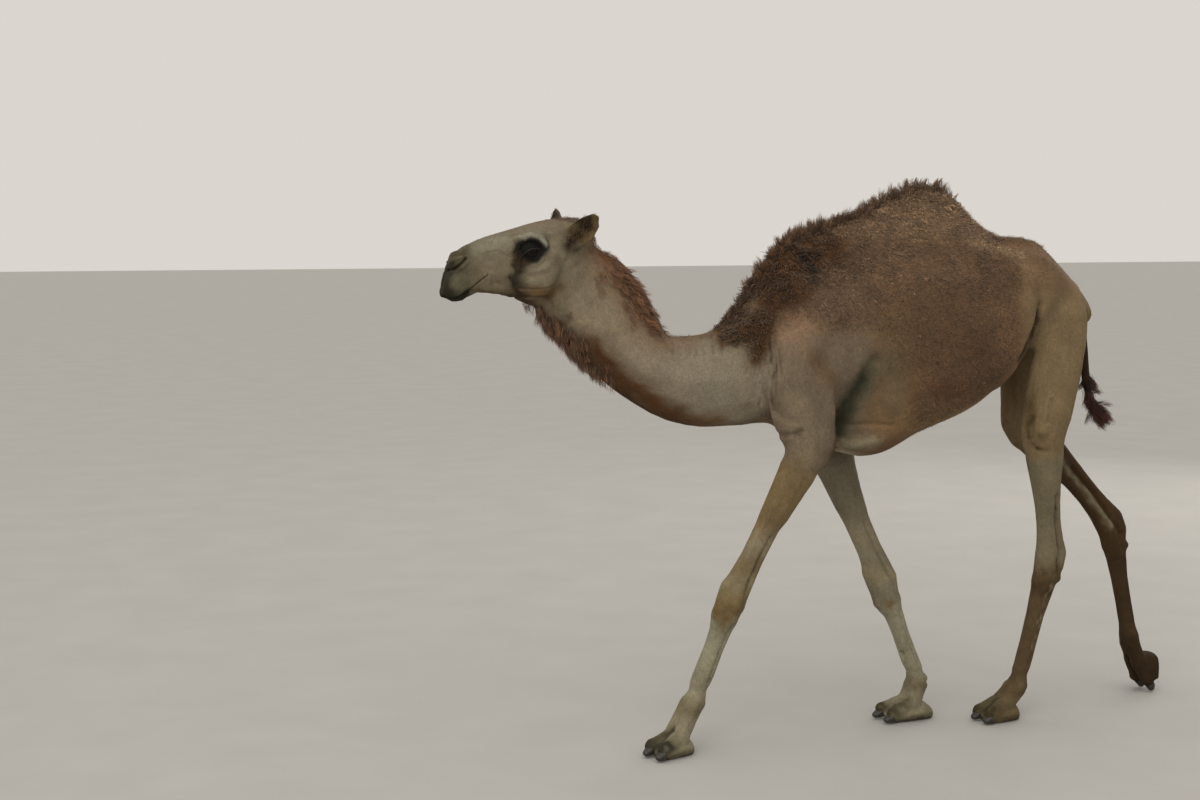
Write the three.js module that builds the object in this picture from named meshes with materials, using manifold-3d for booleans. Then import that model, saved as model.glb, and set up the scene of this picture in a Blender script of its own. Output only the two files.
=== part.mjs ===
// A young dromedary camel, life size, standing still in mid-stride: the left forefoot leads and the
// right hind foot trails on its toe tips. Millimetres, +Z up. The camel faces -X and its left side
// is -Y. The solids reach to the tips of the coat. The body is modelled whole, as lofts through
// cross-sections that are joined, and then parted into named lengths with thin cuts. Its sizes are
// laid out from a point on the ground by the left forefoot; the last lines move the origin to the
// ground below the middle of its box.

import * as THREE from "three";
import { mergeVertices } from "three/addons/utils/BufferGeometryUtils.js";
import Module from "manifold-3d";

// ---------------------------------------------------------------- driving dimensions

const GAP = 0.4; // the width of the thin cuts between neighbouring pieces
const LEFT = -1; // the sign of y on the camel's left side
const RIGHT = 1;

// The trunk, in upright cross-sections from the breast to the tail head: x, top, bottom, half
// width, height of the widest place, power above it, power below it. The power of an outline is 2
// for an ellipse, more where it is squarer and less where it is more pointed.
const TRUNK = [
  [345, 1490, 1085, 92, 1235, 1.9, 2.0],
  [390, 1572, 1000, 134, 1225, 1.75, 2.0],
  [450, 1616, 958, 156, 1225, 1.65, 2.0],
  [530, 1642, 930, 172, 1235, 1.6, 1.9],
  [620, 1652, 906, 192, 1240, 1.65, 1.85],
  [690, 1654, 889, 212, 1245, 1.75, 1.9],
  [760, 1654, 894, 230, 1250, 1.8, 1.95],
  [820, 1653, 926, 244, 1254, 1.85, 2.0],
  [870, 1650, 956, 253, 1259, 1.85, 2.0],
  [920, 1648, 974, 258, 1262, 1.85, 2.0],
  [980, 1643, 997, 261, 1268, 1.85, 2.1],
  [1035, 1636, 1020, 258, 1275, 1.85, 2.1],
  [1090, 1628, 1050, 249, 1288, 1.85, 2.1],
  [1145, 1618, 1098, 235, 1305, 1.85, 2.1],
  [1200, 1612, 1152, 216, 1330, 1.85, 2.1],
  [1260, 1608, 1220, 195, 1370, 1.8, 2.0],
  [1320, 1592, 1272, 175, 1410, 1.75, 2.0],
  [1370, 1562, 1300, 158, 1420, 1.7, 2.0],
  [1425, 1500, 1310, 140, 1400, 1.8, 2.0],
  [1480, 1440, 1300, 116, 1362, 1.9, 2.0],
  [1522, 1394, 1300, 80, 1340, 2.0, 2.0],
];
const TRUNK_ENDS = [325, 1540];
// Where the points of the trunk's outlines lie, from the top to the bottom: closest over the hump
const TRUNK_ANGLES = [0, 7, 15, 28, 48, 70, 92, 114, 135, 154, 168, 180];

// The hump, a narrower mound that rises from inside the trunk: x and top. Its flanks are steep.
const HUMP_TOP = [
  [560, 1650], [620, 1674], [690, 1701], [760, 1742], [820, 1773], [870, 1789], [920, 1794], [980, 1780],
  [1035, 1737], [1090, 1681], [1145, 1634],
];
const HUMP = { half: 150, power: 2.2 };

// The neck, from inside the head to inside the chest: x, z, depth above and below the middle line,
// half width. It hangs in a low curve, with a mane on the nape and a beard under the throat.
const NECK = [
  [-305, 1512, 116, 134, 60],
  [-262, 1456, 150, 154, 64],
  [-208, 1386, 158, 146, 63],
  [-150, 1308, 152, 134, 63],
  [-88, 1243, 134, 124, 66],
  [-20, 1196, 124, 124, 71],
  [60, 1168, 140, 140, 80],
  [145, 1162, 148, 154, 92],
  [220, 1163, 176, 155, 106],
  [285, 1164, 254, 155, 124],
  [350, 1165, 352, 156, 136],
  [410, 1166, 376, 158, 134],
];

// The head along its own axis, from behind the skull to the lips, before the head is tipped:
// distance forward, top, bottom, half width, height of the widest place, powers above and below
const HEAD = [
  [-28, 62, -70, 50, 0, 2.0, 2.0],
  [45, 101, -112, 71, 12, 2.0, 2.0],
  [85, 111, -124, 78, 20, 2.0, 1.9],
  [120, 117, -150, 84, 28, 2.1, 1.7],
  [155, 121, -160, 84, 32, 2.2, 1.6],
  [190, 126, -144, 73, 32, 2.2, 1.6],
  [225, 131, -114, 60, 34, 2.2, 1.7],
  [260, 136, -72, 49, 42, 2.1, 1.9],
  [295, 138, -42, 45, 50, 2.1, 1.9],
  [335, 139, -16, 45, 57, 2.1, 2.05],
  [380, 128, -5, 48, 55, 2.1, 2.1],
  [405, 106, -4, 46, 48, 2.1, 2.1],
  [428, 81, 5, 38, 42, 2.1, 2.1],
  [443, 62, 19, 24, 40, 2.0, 2.0],
];
const HEAD_ENDS = [-54, 451];
const HEAD_ORIGIN = [-265, 0, 1600]; // the middle of the skull's base
const HEAD_TIP = THREE.MathUtils.degToRad(26); // how far the nose points down
const EYE = { along: 168, side: 79, up: 42, radius: 20 };
// Swellings of the head: how far along and how long, at what angle from the top and how wide, and
// how high above the plain loft
const BROW = { along: 142, length: 54, angle: 64, spread: 17, height: 20 };
const CHEEKBONE = { along: 142, length: 80, angle: 108, spread: 18, height: 13 };
const MOUTH = [[480, 26], [440, 20], [416, 11], [384, 15], [352, 25], [311, 31]];
const CHEEK_CUT = [[262, 12], [205, -26], [105, -52], [96, -330]];

// The ears, from root to tip: distance along, half width, half thickness
const EAR = [[0, 18, 16], [24, 28, 16], [52, 34, 14], [84, 29, 11], [108, 12, 6]];
const EAR_HOLLOW = { start: 24, share: 0.66, shift: 8 };
const EAR_CUT = { start: 28, size: [44, 84, 130] }; // the block that holds the free part of an ear
const EARS = [
  { name: "left", side: LEFT, root: [46, 64, -4], lean: [-0.84, 0.5, 0.56], facing: [-0.3, -0.9, -0.1] },
  { name: "right", side: RIGHT, root: [44, 64, 2], lean: [-0.56, 0.5, 0.78], facing: [-0.5, 0.8, 0.1] },
];

// The legs' joints, x, y, z, in the pose of the stride, with y positive outwards. A foot's middle
// lies ahead of the fetlock. The right hind foot is off its sole: it is turned until its toes
// point down and back, and its sole lies close behind the bones.
const LEGS = [
  {
    name: "foreleg_left", side: LEFT, fore: true, flexor: 1, bow: 0,
    joints: [[560, 82, 1490], [408, 140, 1150], [442, 160, 950], [216, 104, 500], [99, 56, 160]],
    foot: { scale: 1.04, spread: 0.96, ahead: 78, toeOut: 0.3, turn: 0, heel: 0.8, bulge: 2 },
  },
  {
    name: "foreleg_right", side: RIGHT, fore: true, flexor: 1.3, bow: 0,
    joints: [[590, 82, 1480], [520, 140, 1140], [652, 150, 928], [840, 84, 455], [957, 56, 124]],
    foot: { scale: 1.04, spread: 1.08, ahead: 40, toeOut: -0.06, turn: 0, heel: 1, bulge: 2 },
  },
  {
    name: "hindleg_left", side: LEFT, fore: false, flexor: 1, bow: 0,
    joints: [[1362, 104, 1436], [1362, 138, 1330], [1288, 158, 958], [1355, 96, 532], [1268, 56, 104]],
    foot: { scale: 1.0, spread: 0.96, ahead: 70, toeOut: 0.15, turn: 0, heel: 0.9, bulge: 2 },
  },
  {
    name: "hindleg_right", side: RIGHT, fore: false, flexor: 1, bow: 14,
    joints: [[1376, 104, 1430], [1392, 138, 1325], [1412, 152, 953], [1752, 122, 582], [1833, 108, 178]],
    foot: { scale: 1.0, spread: 0.94, ahead: 81, toeOut: 0, turn: 90, heel: 0.5, bulge: 10, depth: 90 },
  },
];

// How thick a leg is: which bone and how far along it, then the reach forward, back, out and in
const FORELEG_GIRTHS = [
  [0, 0.0, 62, 78, 26, 40],
  [0, 0.35, 92, 116, 42, 60],
  [0, 0.7, 108, 134, 54, 60],
  [1, 0.0, 118, 136, 58, 60],
  [1, 0.35, 116, 124, 60, 60],
  [1, 0.72, 103, 106, 58, 56],
  [1, 0.92, 92, 102, 54, 52],
  [2, 0.04, 80, 84, 50, 50],
  [2, 0.12, 72, 68, 47, 47],
  [2, 0.22, 64, 56, 43, 44],
  [2, 0.38, 56, 44, 38, 39],
  [2, 0.55, 48, 35, 33, 34],
  [2, 0.75, 44, 36, 33, 33],
  [2, 0.89, 48, 42, 38, 38],
  [2, 0.98, 48, 45, 42, 41],
  [3, 0.08, 44, 44, 42, 41],
  [3, 0.17, 37, 36, 36, 36],
  [3, 0.28, 27, 28, 28, 28],
  [3, 0.5, 22, 24, 24, 24],
  [3, 0.76, 23, 26, 26, 26],
  [3, 0.9, 27, 33, 33, 33],
  [3, 1.0, 30, 38, 38, 38],
];
const HINDLEG_GIRTHS = [
  [0, 0.0, 70, 80, 34, 40],
  [0, 0.8, 86, 108, 46, 62],
  [1, 0.15, 90, 110, 52, 62],
  [1, 0.45, 94, 102, 58, 60],
  [1, 0.78, 94, 90, 59, 57],
  [1, 0.95, 94, 84, 56, 54],
  [2, 0.05, 86, 80, 53, 51],
  [2, 0.14, 72, 75, 49, 47],
  [2, 0.25, 62, 66, 44, 42],
  [2, 0.4, 50, 58, 37, 35],
  [2, 0.55, 40, 54, 31, 30],
  [2, 0.7, 36, 54, 28, 28],
  [2, 0.84, 38, 62, 29, 29],
  [2, 0.95, 46, 74, 34, 34],
  [3, 0.04, 45, 67, 38, 38],
  [3, 0.13, 38, 52, 35, 35],
  [3, 0.26, 28, 42, 29, 29],
  [3, 0.42, 24, 33, 24, 24],
  [3, 0.64, 21, 31, 23, 23],
  [3, 0.82, 22, 31, 25, 25],
  [3, 0.92, 28, 32, 31, 31],
  [3, 1.0, 32, 34, 36, 36],
];
// A foot: two toes run forward and down from the fetlock, and both rest on one broad flat pad.
// The toes, after the fetlock: forward of the foot's middle, sideways, height of centre, radius
const TOE_ROOT = { side: 10, radius: 30 };
const TOE = [[-6, 19, 54, 27], [28, 26, 36, 25], [58, 31, 26, 20], [80, 32, 20, 15], [99, 31, 13, 8]];
const NAIL = { start: 78, side: 32, up: 19, dip: 0.3, size: [70, 44, 80] }; // the horny end of a toe
// The pad from heel to toes: forward of its middle, height of its top, half width
const PAD = [[-76, 36, 34], [-60, 48, 50], [-26, 52, 61], [16, 44, 66], [52, 32, 62]];
const PAD_ENDS = [-86, 72];
const PAD_WAIST = 10; // how high above the sole the pad is widest

// The tail, from its root: x, y, z, radius
const TAIL = [
  [1468, 0, 1372, 28], [1512, 0, 1336, 23], [1534, -4, 1280, 17], [1541, -8, 1215, 15],
  [1543, -10, 1150, 18], [1549, -8, 1090, 25], [1572, -4, 1040, 33], [1604, 2, 1005, 36],
  [1640, 8, 980, 30], [1668, 12, 958, 14],
];

const FLEECE = new THREE.MeshStandardMaterial({ color: 0x94694a, roughness: 0.95, metalness: 0 });
const SHORT_COAT = new THREE.MeshStandardMaterial({ color: 0xb39676, roughness: 0.9, metalness: 0 });
const FACE_COAT = new THREE.MeshStandardMaterial({ color: 0x96806a, roughness: 0.9, metalness: 0 });
const DARK_HAIR = new THREE.MeshStandardMaterial({ color: 0x33201a, roughness: 0.9, metalness: 0 });
const EYEBALL = new THREE.MeshStandardMaterial({ color: 0x150d08, roughness: 0.12, metalness: 0 });
const HORN = new THREE.MeshStandardMaterial({ color: 0x2b2622, roughness: 0.55, metalness: 0 });

// ---------------------------------------------------------------- lofts and booleans

const wasm = await Module();
wasm.setup();

// Rows of numbers made denser with a smooth curve through them.
function dense(rows, steps) {
  const out = [];
  for (let i = 0; i < rows.length - 1; i++) {
    const [a, b, c, d] = [-1, 0, 1, 2].map((k) => rows[THREE.MathUtils.clamp(i + k, 0, rows.length - 1)]);
    for (let s = 0; s < steps; s++) {
      const t = s / steps;
      out.push(b.map((_, k) => catmullRom(a[k], b[k], c[k], d[k], t)));
    }
  }
  out.push(rows[rows.length - 1]);
  return out;
}

function catmullRom(a, b, c, d, t) {
  return b + 0.5 * t * (c - a + t * (2 * a - 5 * b + 4 * c - d + t * (3 * (b - c) + d - a)));
}

const CAP_BULGE = 0.55; // how far a limb's end bulges, as a share of its thickness there

// A closed skin over rings of points, with a pole at each end.
function skin(rings, firstPole, lastPole) {
  const sides = rings[0].length;
  const points = [firstPole, ...rings.flat(), lastPole];
  const at = (ring, k) => 1 + ring * sides + (k % sides);
  const faces = [];
  for (let k = 0; k < sides; k++) {
    faces.push(0, at(0, k + 1), at(0, k));
    for (let r = 0; r < rings.length - 1; r++) {
      faces.push(at(r, k), at(r, k + 1), at(r + 1, k));
      faces.push(at(r, k + 1), at(r + 1, k + 1), at(r + 1, k));
    }
    faces.push(points.length - 1, at(rings.length - 1, k), at(rings.length - 1, k + 1));
  }
  const geometry = new THREE.BufferGeometry().setFromPoints(points);
  geometry.setIndex(faces);
  return solidOf(geometry);
}

// A closed geometry as a solid, whichever way its faces turn.
function solidOf(geometry) {
  const bare = geometry.clone();
  bare.deleteAttribute("normal");
  bare.deleteAttribute("uv");
  const merged = mergeVertices(bare, 1e-3);
  const corners = new Uint32Array(merged.index.array);
  const make = (triVerts) =>
    new wasm.Manifold(new wasm.Mesh({
      numProp: 3, vertProperties: new Float32Array(merged.attributes.position.array), triVerts,
    }));
  const solid = make(corners);
  return solid.volume() > 0 ? solid : make(corners.reverse());
}

function geometryOf(solid) {
  const mesh = solid.getMesh();
  const positions = new Float32Array(mesh.numVert * 3);
  for (let i = 0; i < mesh.numVert; i++) {
    positions.set(mesh.vertProperties.subarray(i * mesh.numProp, i * mesh.numProp + 3), i * 3);
  }
  const geometry = new THREE.BufferGeometry();
  geometry.setAttribute("position", new THREE.BufferAttribute(positions, 3));
  geometry.setIndex(new THREE.BufferAttribute(new Uint32Array(mesh.triVerts), 1));
  geometry.computeVertexNormals();
  return geometry;
}

const joined = (solids) => solids.reduce((whole, solid) => whole.add(solid));

// How far a rounded outline lies from its middle, at an angle from the top.
function outlineReach(angle, half, up, down, above, below) {
  const power = Math.cos(angle) > 0 ? above : below;
  const reach = Math.cos(angle) > 0 ? up : down;
  return (Math.abs(Math.sin(angle) / half) ** power + Math.abs(Math.cos(angle) / reach) ** power) ** (-1 / power);
}

// A body whose cross-sections stand square to its own x axis, placed by a matrix. The swelling
// gives how much farther a point lies from the section's middle, by its row and angle.
function barrel(rows, ends, angles, { place = new THREE.Matrix4(), swelling = () => 0 } = {}) {
  const rings = rows.map((row) => {
    const [x, top, bottom, half, wide, above, below] = row;
    return angles.map((angle) => {
      const plain = outlineReach(angle, half, top - wide, wide - bottom, above, below);
      const reach = plain + swelling(row, angle, plain);
      return new THREE.Vector3(x, reach * Math.sin(angle), wide + reach * Math.cos(angle)).applyMatrix4(place);
    });
  });
  const pole = (x, row) => new THREE.Vector3(x, 0, (row[1] + row[2]) / 2).applyMatrix4(place);
  return skin(rings, pole(ends[0], rows[0]), pole(ends[1], rows[rows.length - 1]));
}

// A body along a bent line. Rows: x, y, z, then its reach on the side of "front", the side opposite,
// the +Y side and the -Y side.
function limb(rows, front, sides) {
  const last = rows.length - 1;
  const centre = (i) => new THREE.Vector3(...rows[THREE.MathUtils.clamp(i, 0, last)]);
  const along = (i) => centre(i + 1).sub(centre(i - 1)).normalize();
  const rings = rows.map((row, i) => {
    const fore = front.clone().addScaledVector(along(i), -front.dot(along(i))).normalize();
    const side = new THREE.Vector3().crossVectors(along(i), fore);
    if (side.y < 0) side.negate();
    return Array.from({ length: sides }, (_, k) => {
      const [c, s] = [Math.cos((2 * Math.PI * k) / sides), Math.sin((2 * Math.PI * k) / sides)];
      return centre(i).addScaledVector(fore, c * (c > 0 ? row[3] : row[4]))
        .addScaledVector(side, s * (s > 0 ? row[5] : row[6]));
    });
  });
  const cap = (i, sign) => centre(i).addScaledVector(along(i), sign * CAP_BULGE * Math.min(...rows[i].slice(3)));
  return skin(rings, cap(0, -1), cap(last, 1));
}

const evenAngles = (sides) => Array.from({ length: sides }, (_, k) => (2 * Math.PI * k) / sides);

// Angles for both sides of an outline, from those of one side in degrees.
function mirroredAngles(degrees) {
  const one = degrees.map(THREE.MathUtils.degToRad);
  return [...one, ...one.slice(1, -1).reverse().map((angle) => 2 * Math.PI - angle)];
}

function ball(radius, centre, [columns, rows]) {
  return solidOf(new THREE.SphereGeometry(radius, columns, rows).translate(...centre.toArray()));
}

// ---------------------------------------------------------------- trunk, neck and tail

const FORWARD = new THREE.Vector3(-1, 0, 0);
const UP = new THREE.Vector3(0, 0, 1);

// The hump's outline where it stands out past the trunk's.
function humpSwelling([x, , , , wide], angle, plain) {
  const mark = HUMP_TOP.find(([at]) => at === x);
  if (!mark || Math.cos(angle) <= 0) return 0;
  return Math.max(0, outlineReach(angle, HUMP.half, mark[1] - wide, 1, HUMP.power, 2) - plain);
}

const trunk = () => barrel(TRUNK, TRUNK_ENDS, mirroredAngles(TRUNK_ANGLES), { swelling: humpSwelling });

function neck() {
  const rows = NECK.map(([x, z, above, below, half]) => [x, 0, z, above, below, half, half]);
  return limb(dense(rows, 2), UP, 12);
}

const tail = () => limb(TAIL.map(([x, y, z, r]) => [x, y, z, r, r, r, r]), FORWARD, 8);

// ---------------------------------------------------------------- head

// From the head's own frame, +X forward along the nose, to the camel's.
const HEAD_PLACE = new THREE.Matrix4()
  .makeTranslation(...HEAD_ORIGIN)
  .multiply(new THREE.Matrix4().makeRotationY(-HEAD_TIP))
  .multiply(new THREE.Matrix4().makeScale(-1, 1, 1));

const inHead = (along, side, up) => new THREE.Vector3(along, side, up).applyMatrix4(HEAD_PLACE);

// The brows and cheekbones, which stand out of the head's sides.
function headSwelling([x], angle) {
  const degrees = THREE.MathUtils.radToDeg(Math.min(angle, 2 * Math.PI - angle));
  return [BROW, CHEEKBONE].reduce((sum, { along, length, angle: middle, spread, height }) =>
    sum + height * Math.exp(-(((x - along) / length) ** 2) - ((degrees - middle) / spread) ** 2), 0);
}

const head = () => barrel(HEAD, HEAD_ENDS, evenAngles(18), { place: HEAD_PLACE, swelling: headSwelling });

const eyeball = (side, grow = 0) =>
  ball(EYE.radius + grow, inHead(EYE.along, side * EYE.side, EYE.up), [10, 6]);

// Everything below the line of the lips, which runs on under the cheek to the hinge of the jaw.
function underJaw(lift) {
  const line = [...MOUTH, ...CHEEK_CUT];
  const edge = [...line, [480, -330]].map(([x, z], i) => new THREE.Vector2(x, z + (i < line.length ? lift : 0)));
  const across = 260;
  const slab = new THREE.ExtrudeGeometry(new THREE.Shape(edge), { depth: across, bevelEnabled: false });
  return solidOf(slab.translate(0, 0, -across / 2).rotateX(Math.PI / 2).applyMatrix4(HEAD_PLACE));
}

// An ear's root, the way it points and the way its hollow faces.
function earAxes({ side, root, lean, facing }) {
  const start = inHead(root[0], side * root[1], root[2]);
  const tip = inHead(root[0] + lean[0], side * (root[1] + lean[1]), root[2] + lean[2]);
  return { start, along: tip.sub(start).normalize(), face: new THREE.Vector3(...facing).normalize() };
}

function earOf(settings) {
  const { start, along, face } = earAxes(settings);
  const leaf = (from, share, shift) =>
    EAR.filter(([distance]) => distance >= from).map(([distance, half, thick]) => [
      ...start.clone().addScaledVector(along, distance).addScaledVector(face, shift).toArray(),
      thick * share, thick * share, half * share, half * share,
    ]);
  return limb(leaf(0, 1, 0), face, 10)
    .subtract(limb(leaf(EAR_HOLLOW.start, EAR_HOLLOW.share, EAR_HOLLOW.shift), face, 6));
}

// ---------------------------------------------------------------- legs

const outwards = (leg, [x, y, z]) => new THREE.Vector3(x, leg.side * y, z);

// A bone of a leg: its two ends, its direction and the way that is backwards, square to it.
function boneOf(leg, index) {
  const [start, end] = [leg.joints[index], leg.joints[index + 1]].map((joint) => outwards(leg, joint));
  const down = end.clone().sub(start).normalize();
  const rear = FORWARD.clone().negate().addScaledVector(down, FORWARD.dot(down)).normalize();
  return { start, end, down, rear };
}

// The girths laid out along the bones between a leg's joints.
function legRows(leg, girths) {
  return girths.map(([index, share, fore, hind, out, inner]) => {
    const bone = boneOf(leg, index);
    const lower = index === 2; // the forearm or the shank
    const middle = bone.start.lerp(bone.end, share)
      .addScaledVector(bone.rear, lower ? leg.bow * Math.sin(Math.PI * share) : 0);
    const back = hind * (lower ? leg.flexor : 1);
    return [...middle.toArray(), fore, back, ...(leg.side > 0 ? [out, inner] : [inner, out])];
  });
}

const legOf = (leg) => limb(legRows(leg, leg.fore ? FORELEG_GIRTHS : HINDLEG_GIRTHS), FORWARD, 8);

// ---------------------------------------------------------------- feet

// From a foot's own frame, +X forward from its middle and z = 0 at the sole, to the camel's.
function footPlace(leg) {
  const fetlock = outwards(leg, leg.joints[4]);
  const { ahead, toeOut, turn, depth = fetlock.z } = leg.foot;
  return new THREE.Matrix4()
    .makeTranslation(...fetlock.toArray())
    .multiply(new THREE.Matrix4().makeRotationY(-THREE.MathUtils.degToRad(turn)))
    .multiply(new THREE.Matrix4().makeRotationZ(-leg.side * toeOut))
    .multiply(new THREE.Matrix4().makeScale(-1, 1, 1))
    .multiply(new THREE.Matrix4().makeTranslation(ahead, 0, -depth));
}

function footOf(leg) {
  const place = footPlace(leg);
  const { scale, spread, heel, bulge } = leg.foot;
  const wide = scale * spread;
  const fetlock = outwards(leg, leg.joints[4]).applyMatrix4(place.clone().invert());
  const toes = [LEFT, RIGHT].map((side) => {
    const path = [
      [fetlock.x, side * TOE_ROOT.side, fetlock.z, TOE_ROOT.radius * scale],
      ...TOE.map(([x, y, z, radius]) => [x * wide, side * y * wide, z * scale, radius * scale]),
    ];
    return limb(path.map(([x, y, z, r]) => [
      ...new THREE.Vector3(x, y, z).applyMatrix4(place).toArray(), r, r, r, r,
    ]), UP, 6);
  });
  const long = (x) => x * wide * (x < 0 ? heel : 1);
  const outline = PAD.map(([x, top, half]) => [long(x), top * scale, -bulge, half * wide, PAD_WAIST, 1.9, 3]);
  return joined([...toes, barrel(outline, PAD_ENDS.map(long), evenAngles(10), { place })]);
}

// Where a toe's nail starts and which way it points.
function nailAxes(leg, side) {
  const { scale, spread } = leg.foot;
  const place = footPlace(leg);
  const start = new THREE.Vector3(NAIL.start * scale * spread, side * NAIL.side * scale * spread, NAIL.up * scale);
  const ahead = new THREE.Vector3(Math.cos(NAIL.dip), 0, -Math.sin(NAIL.dip)).add(start).applyMatrix4(place);
  start.applyMatrix4(place);
  return { start, along: ahead.sub(start) };
}

// ---------------------------------------------------------------- the whole body, and its parting

// A block whose length runs one way from its start, and whose first side turns towards "face".
function blockFrom(start, along, [deep, across, long], grow = 0, face = FORWARD) {
  const z = along.clone().normalize();
  const x = face.clone().addScaledVector(z, -face.dot(z)).normalize();
  const place = new THREE.Matrix4().makeBasis(x, new THREE.Vector3().crossVectors(z, x), z)
    .setPosition(start.clone().addScaledVector(z, long / 2));
  return solidOf(new THREE.BoxGeometry(deep + 2 * grow, across + 2 * grow, long + 2 * grow).applyMatrix4(place));
}

const ground = blockFrom(new THREE.Vector3(600, 0, 0), UP.clone().negate(), [6000, 3000, 400]);
const eyes = [LEFT, RIGHT].map((side) => ({ side, solid: eyeball(side), socket: eyeball(side, GAP) }));

let body = joined([
  trunk(), neck(), tail(), head(), ...EARS.map(earOf), ...LEGS.map(legOf), ...LEGS.map(footOf),
]).subtract(joined([ground, ...eyes.map((eye) => eye.socket)]));

// Takes what a region holds off the body. The grown region keeps the body a thin gap away from it.
function take(region, grown) {
  const piece = body.intersect(region);
  body = body.subtract(grown);
  return piece;
}

const takeBlock = (start, along, size, face) =>
  take(blockFrom(start, along, size, 0, face), blockFrom(start, along, size, GAP, face));

// Everything on one side of a plane through a point of the middle plane.
const takeBeyond = ([x, z], [dx, dz]) =>
  takeBlock(new THREE.Vector3(x, 0, z), new THREE.Vector3(dx, 0, dz), [4000, 2000, 4000], UP);

// A leg from the foot up: what lies below a cut across each bone, and then the shoulder or thigh,
// which is parted from the trunk by an upright block beside the middle plane.
const LEG_CUTS = [
  { part: "foot", bone: 3, from: 1, shift: -22, size: [300, 200, 460] },
  { part: "cannon", bone: 3, from: 0, shift: 62, size: [160, 160, 460] },
  { part: "lower", bone: 2, from: 0, shift: 66, size: [210, 140, 600] },
];
const LOWER_NAME = { true: "forearm", false: "shank" };
const UPPER_NAME = { true: "shoulder", false: "thigh" };
const UPPER_BLOCK = {
  foreleg_left: { front: 250, rear: 655, bottom: 840, top: 1310, inner: 86 },
  foreleg_right: { front: 350, rear: 800, bottom: 840, top: 1310, inner: 86 },
  hindleg_left: { front: 1150, rear: 1560, bottom: 700, top: 1420, inner: 60 },
  hindleg_right: { front: 1230, rear: 1640, bottom: 700, top: 1420, inner: 60 },
};
const WIDE = 300; // past the outside of the body

const flesh = {};
for (const settings of EARS) {
  const { start, along, face } = earAxes(settings);
  flesh[`ear_${settings.name}`] = takeBlock(
    start.addScaledVector(along, EAR_CUT.start), along, EAR_CUT.size, face);
}
const nails = {};
for (const leg of LEGS) {
  for (const side of [LEFT, RIGHT]) {
    const { start, along } = nailAxes(leg, side);
    nails[`${leg.name}_nail_${side === leg.side ? "outer" : "inner"}`] =
      takeBlock(start, along, NAIL.size, leg.foot.turn ? FORWARD : UP);
  }
  for (const { part, bone, from, shift, size } of LEG_CUTS) {
    const { start, end, down } = boneOf(leg, bone);
    const origin = (from ? end : start).addScaledVector(down, shift);
    const standing = part === "foot" && !leg.foot.turn;
    if (standing) origin.addScaledVector(FORWARD, leg.foot.ahead / 2);
    const name = part === "lower" ? LOWER_NAME[leg.fore] : part;
    flesh[`${leg.name}_${name}`] = takeBlock(origin, standing ? UP.clone().negate() : down, size);
  }
  const { front, rear, bottom, top, inner } = UPPER_BLOCK[leg.name];
  const middle = new THREE.Vector3((front + rear) / 2, leg.side * (inner + WIDE) / 2, bottom);
  flesh[`${leg.name}_${UPPER_NAME[leg.fore]}`] =
    takeBlock(middle, UP, [rear - front, WIDE - inner, top - bottom]);
}
flesh.tail_tuft = takeBlock(new THREE.Vector3(1549, -8, 1112), new THREE.Vector3(0.15, 0, -1), [260, 160, 400]);
flesh.tail_dock = takeBlock(new THREE.Vector3(1534, -4, 1290), new THREE.Vector3(0.1, 0, -1), [120, 100, 400]);
const headWhole = takeBeyond([-190, 1585], [-0.826, 0.564]);
flesh.jaw = headWhole.intersect(underJaw(0));
flesh.head = headWhole.subtract(underJaw(GAP));
flesh.neck_upper = takeBeyond([-120, 1275], [-0.69, 0.72]);
flesh.neck_middle = takeBeyond([60, 1168], [-0.98, 0.2]);
flesh.neck_lower = takeBeyond([300, 1164], [-1, 0]);
flesh.hump = takeBlock(new THREE.Vector3(860, 0, 1600), UP, [900, 800, 400]);
flesh.chest = takeBeyond([655, 1200], [-1, 0]);
flesh.rump = takeBeyond([1180, 1300], [1, 0]);
flesh.barrel = body;

// ---------------------------------------------------------------- the group of named meshes

// The coat on a piece: by the first word of its name that is listed, and otherwise the fleece.
const COATS = {
  tuft: DARK_HAIR, ear: FACE_COAT, head: FACE_COAT, jaw: FACE_COAT, neck: SHORT_COAT, dock: SHORT_COAT,
  foot: SHORT_COAT, cannon: SHORT_COAT, forearm: SHORT_COAT, shank: SHORT_COAT,
};
const coatOf = (name) => COATS[name.split("_").find((word) => word in COATS)] ?? FLEECE;

const camel = new THREE.Group();

function addMesh(name, solid, material) {
  const mesh = new THREE.Mesh(geometryOf(solid), material);
  mesh.name = name;
  camel.add(mesh);
}

for (const [name, solid] of Object.entries(flesh)) addMesh(name, solid, coatOf(name));
for (const { side, solid } of eyes) addMesh(side === LEFT ? "eye_left" : "eye_right", solid, EYEBALL);
for (const [name, solid] of Object.entries(nails)) addMesh(name, solid, HORN);

// The origin is on the ground, below the middle of the camel's box.
const box = new THREE.Box3().setFromObject(camel);
const centre = box.getCenter(new THREE.Vector3());
camel.position.set(-centre.x, -centre.y, -box.min.z);

export default camel;
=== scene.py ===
import math
from functools import partial

import bmesh
import bpy
import numpy as np
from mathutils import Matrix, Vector
from mathutils.bvhtree import BVHTree
from mathutils.kdtree import KDTree


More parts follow.
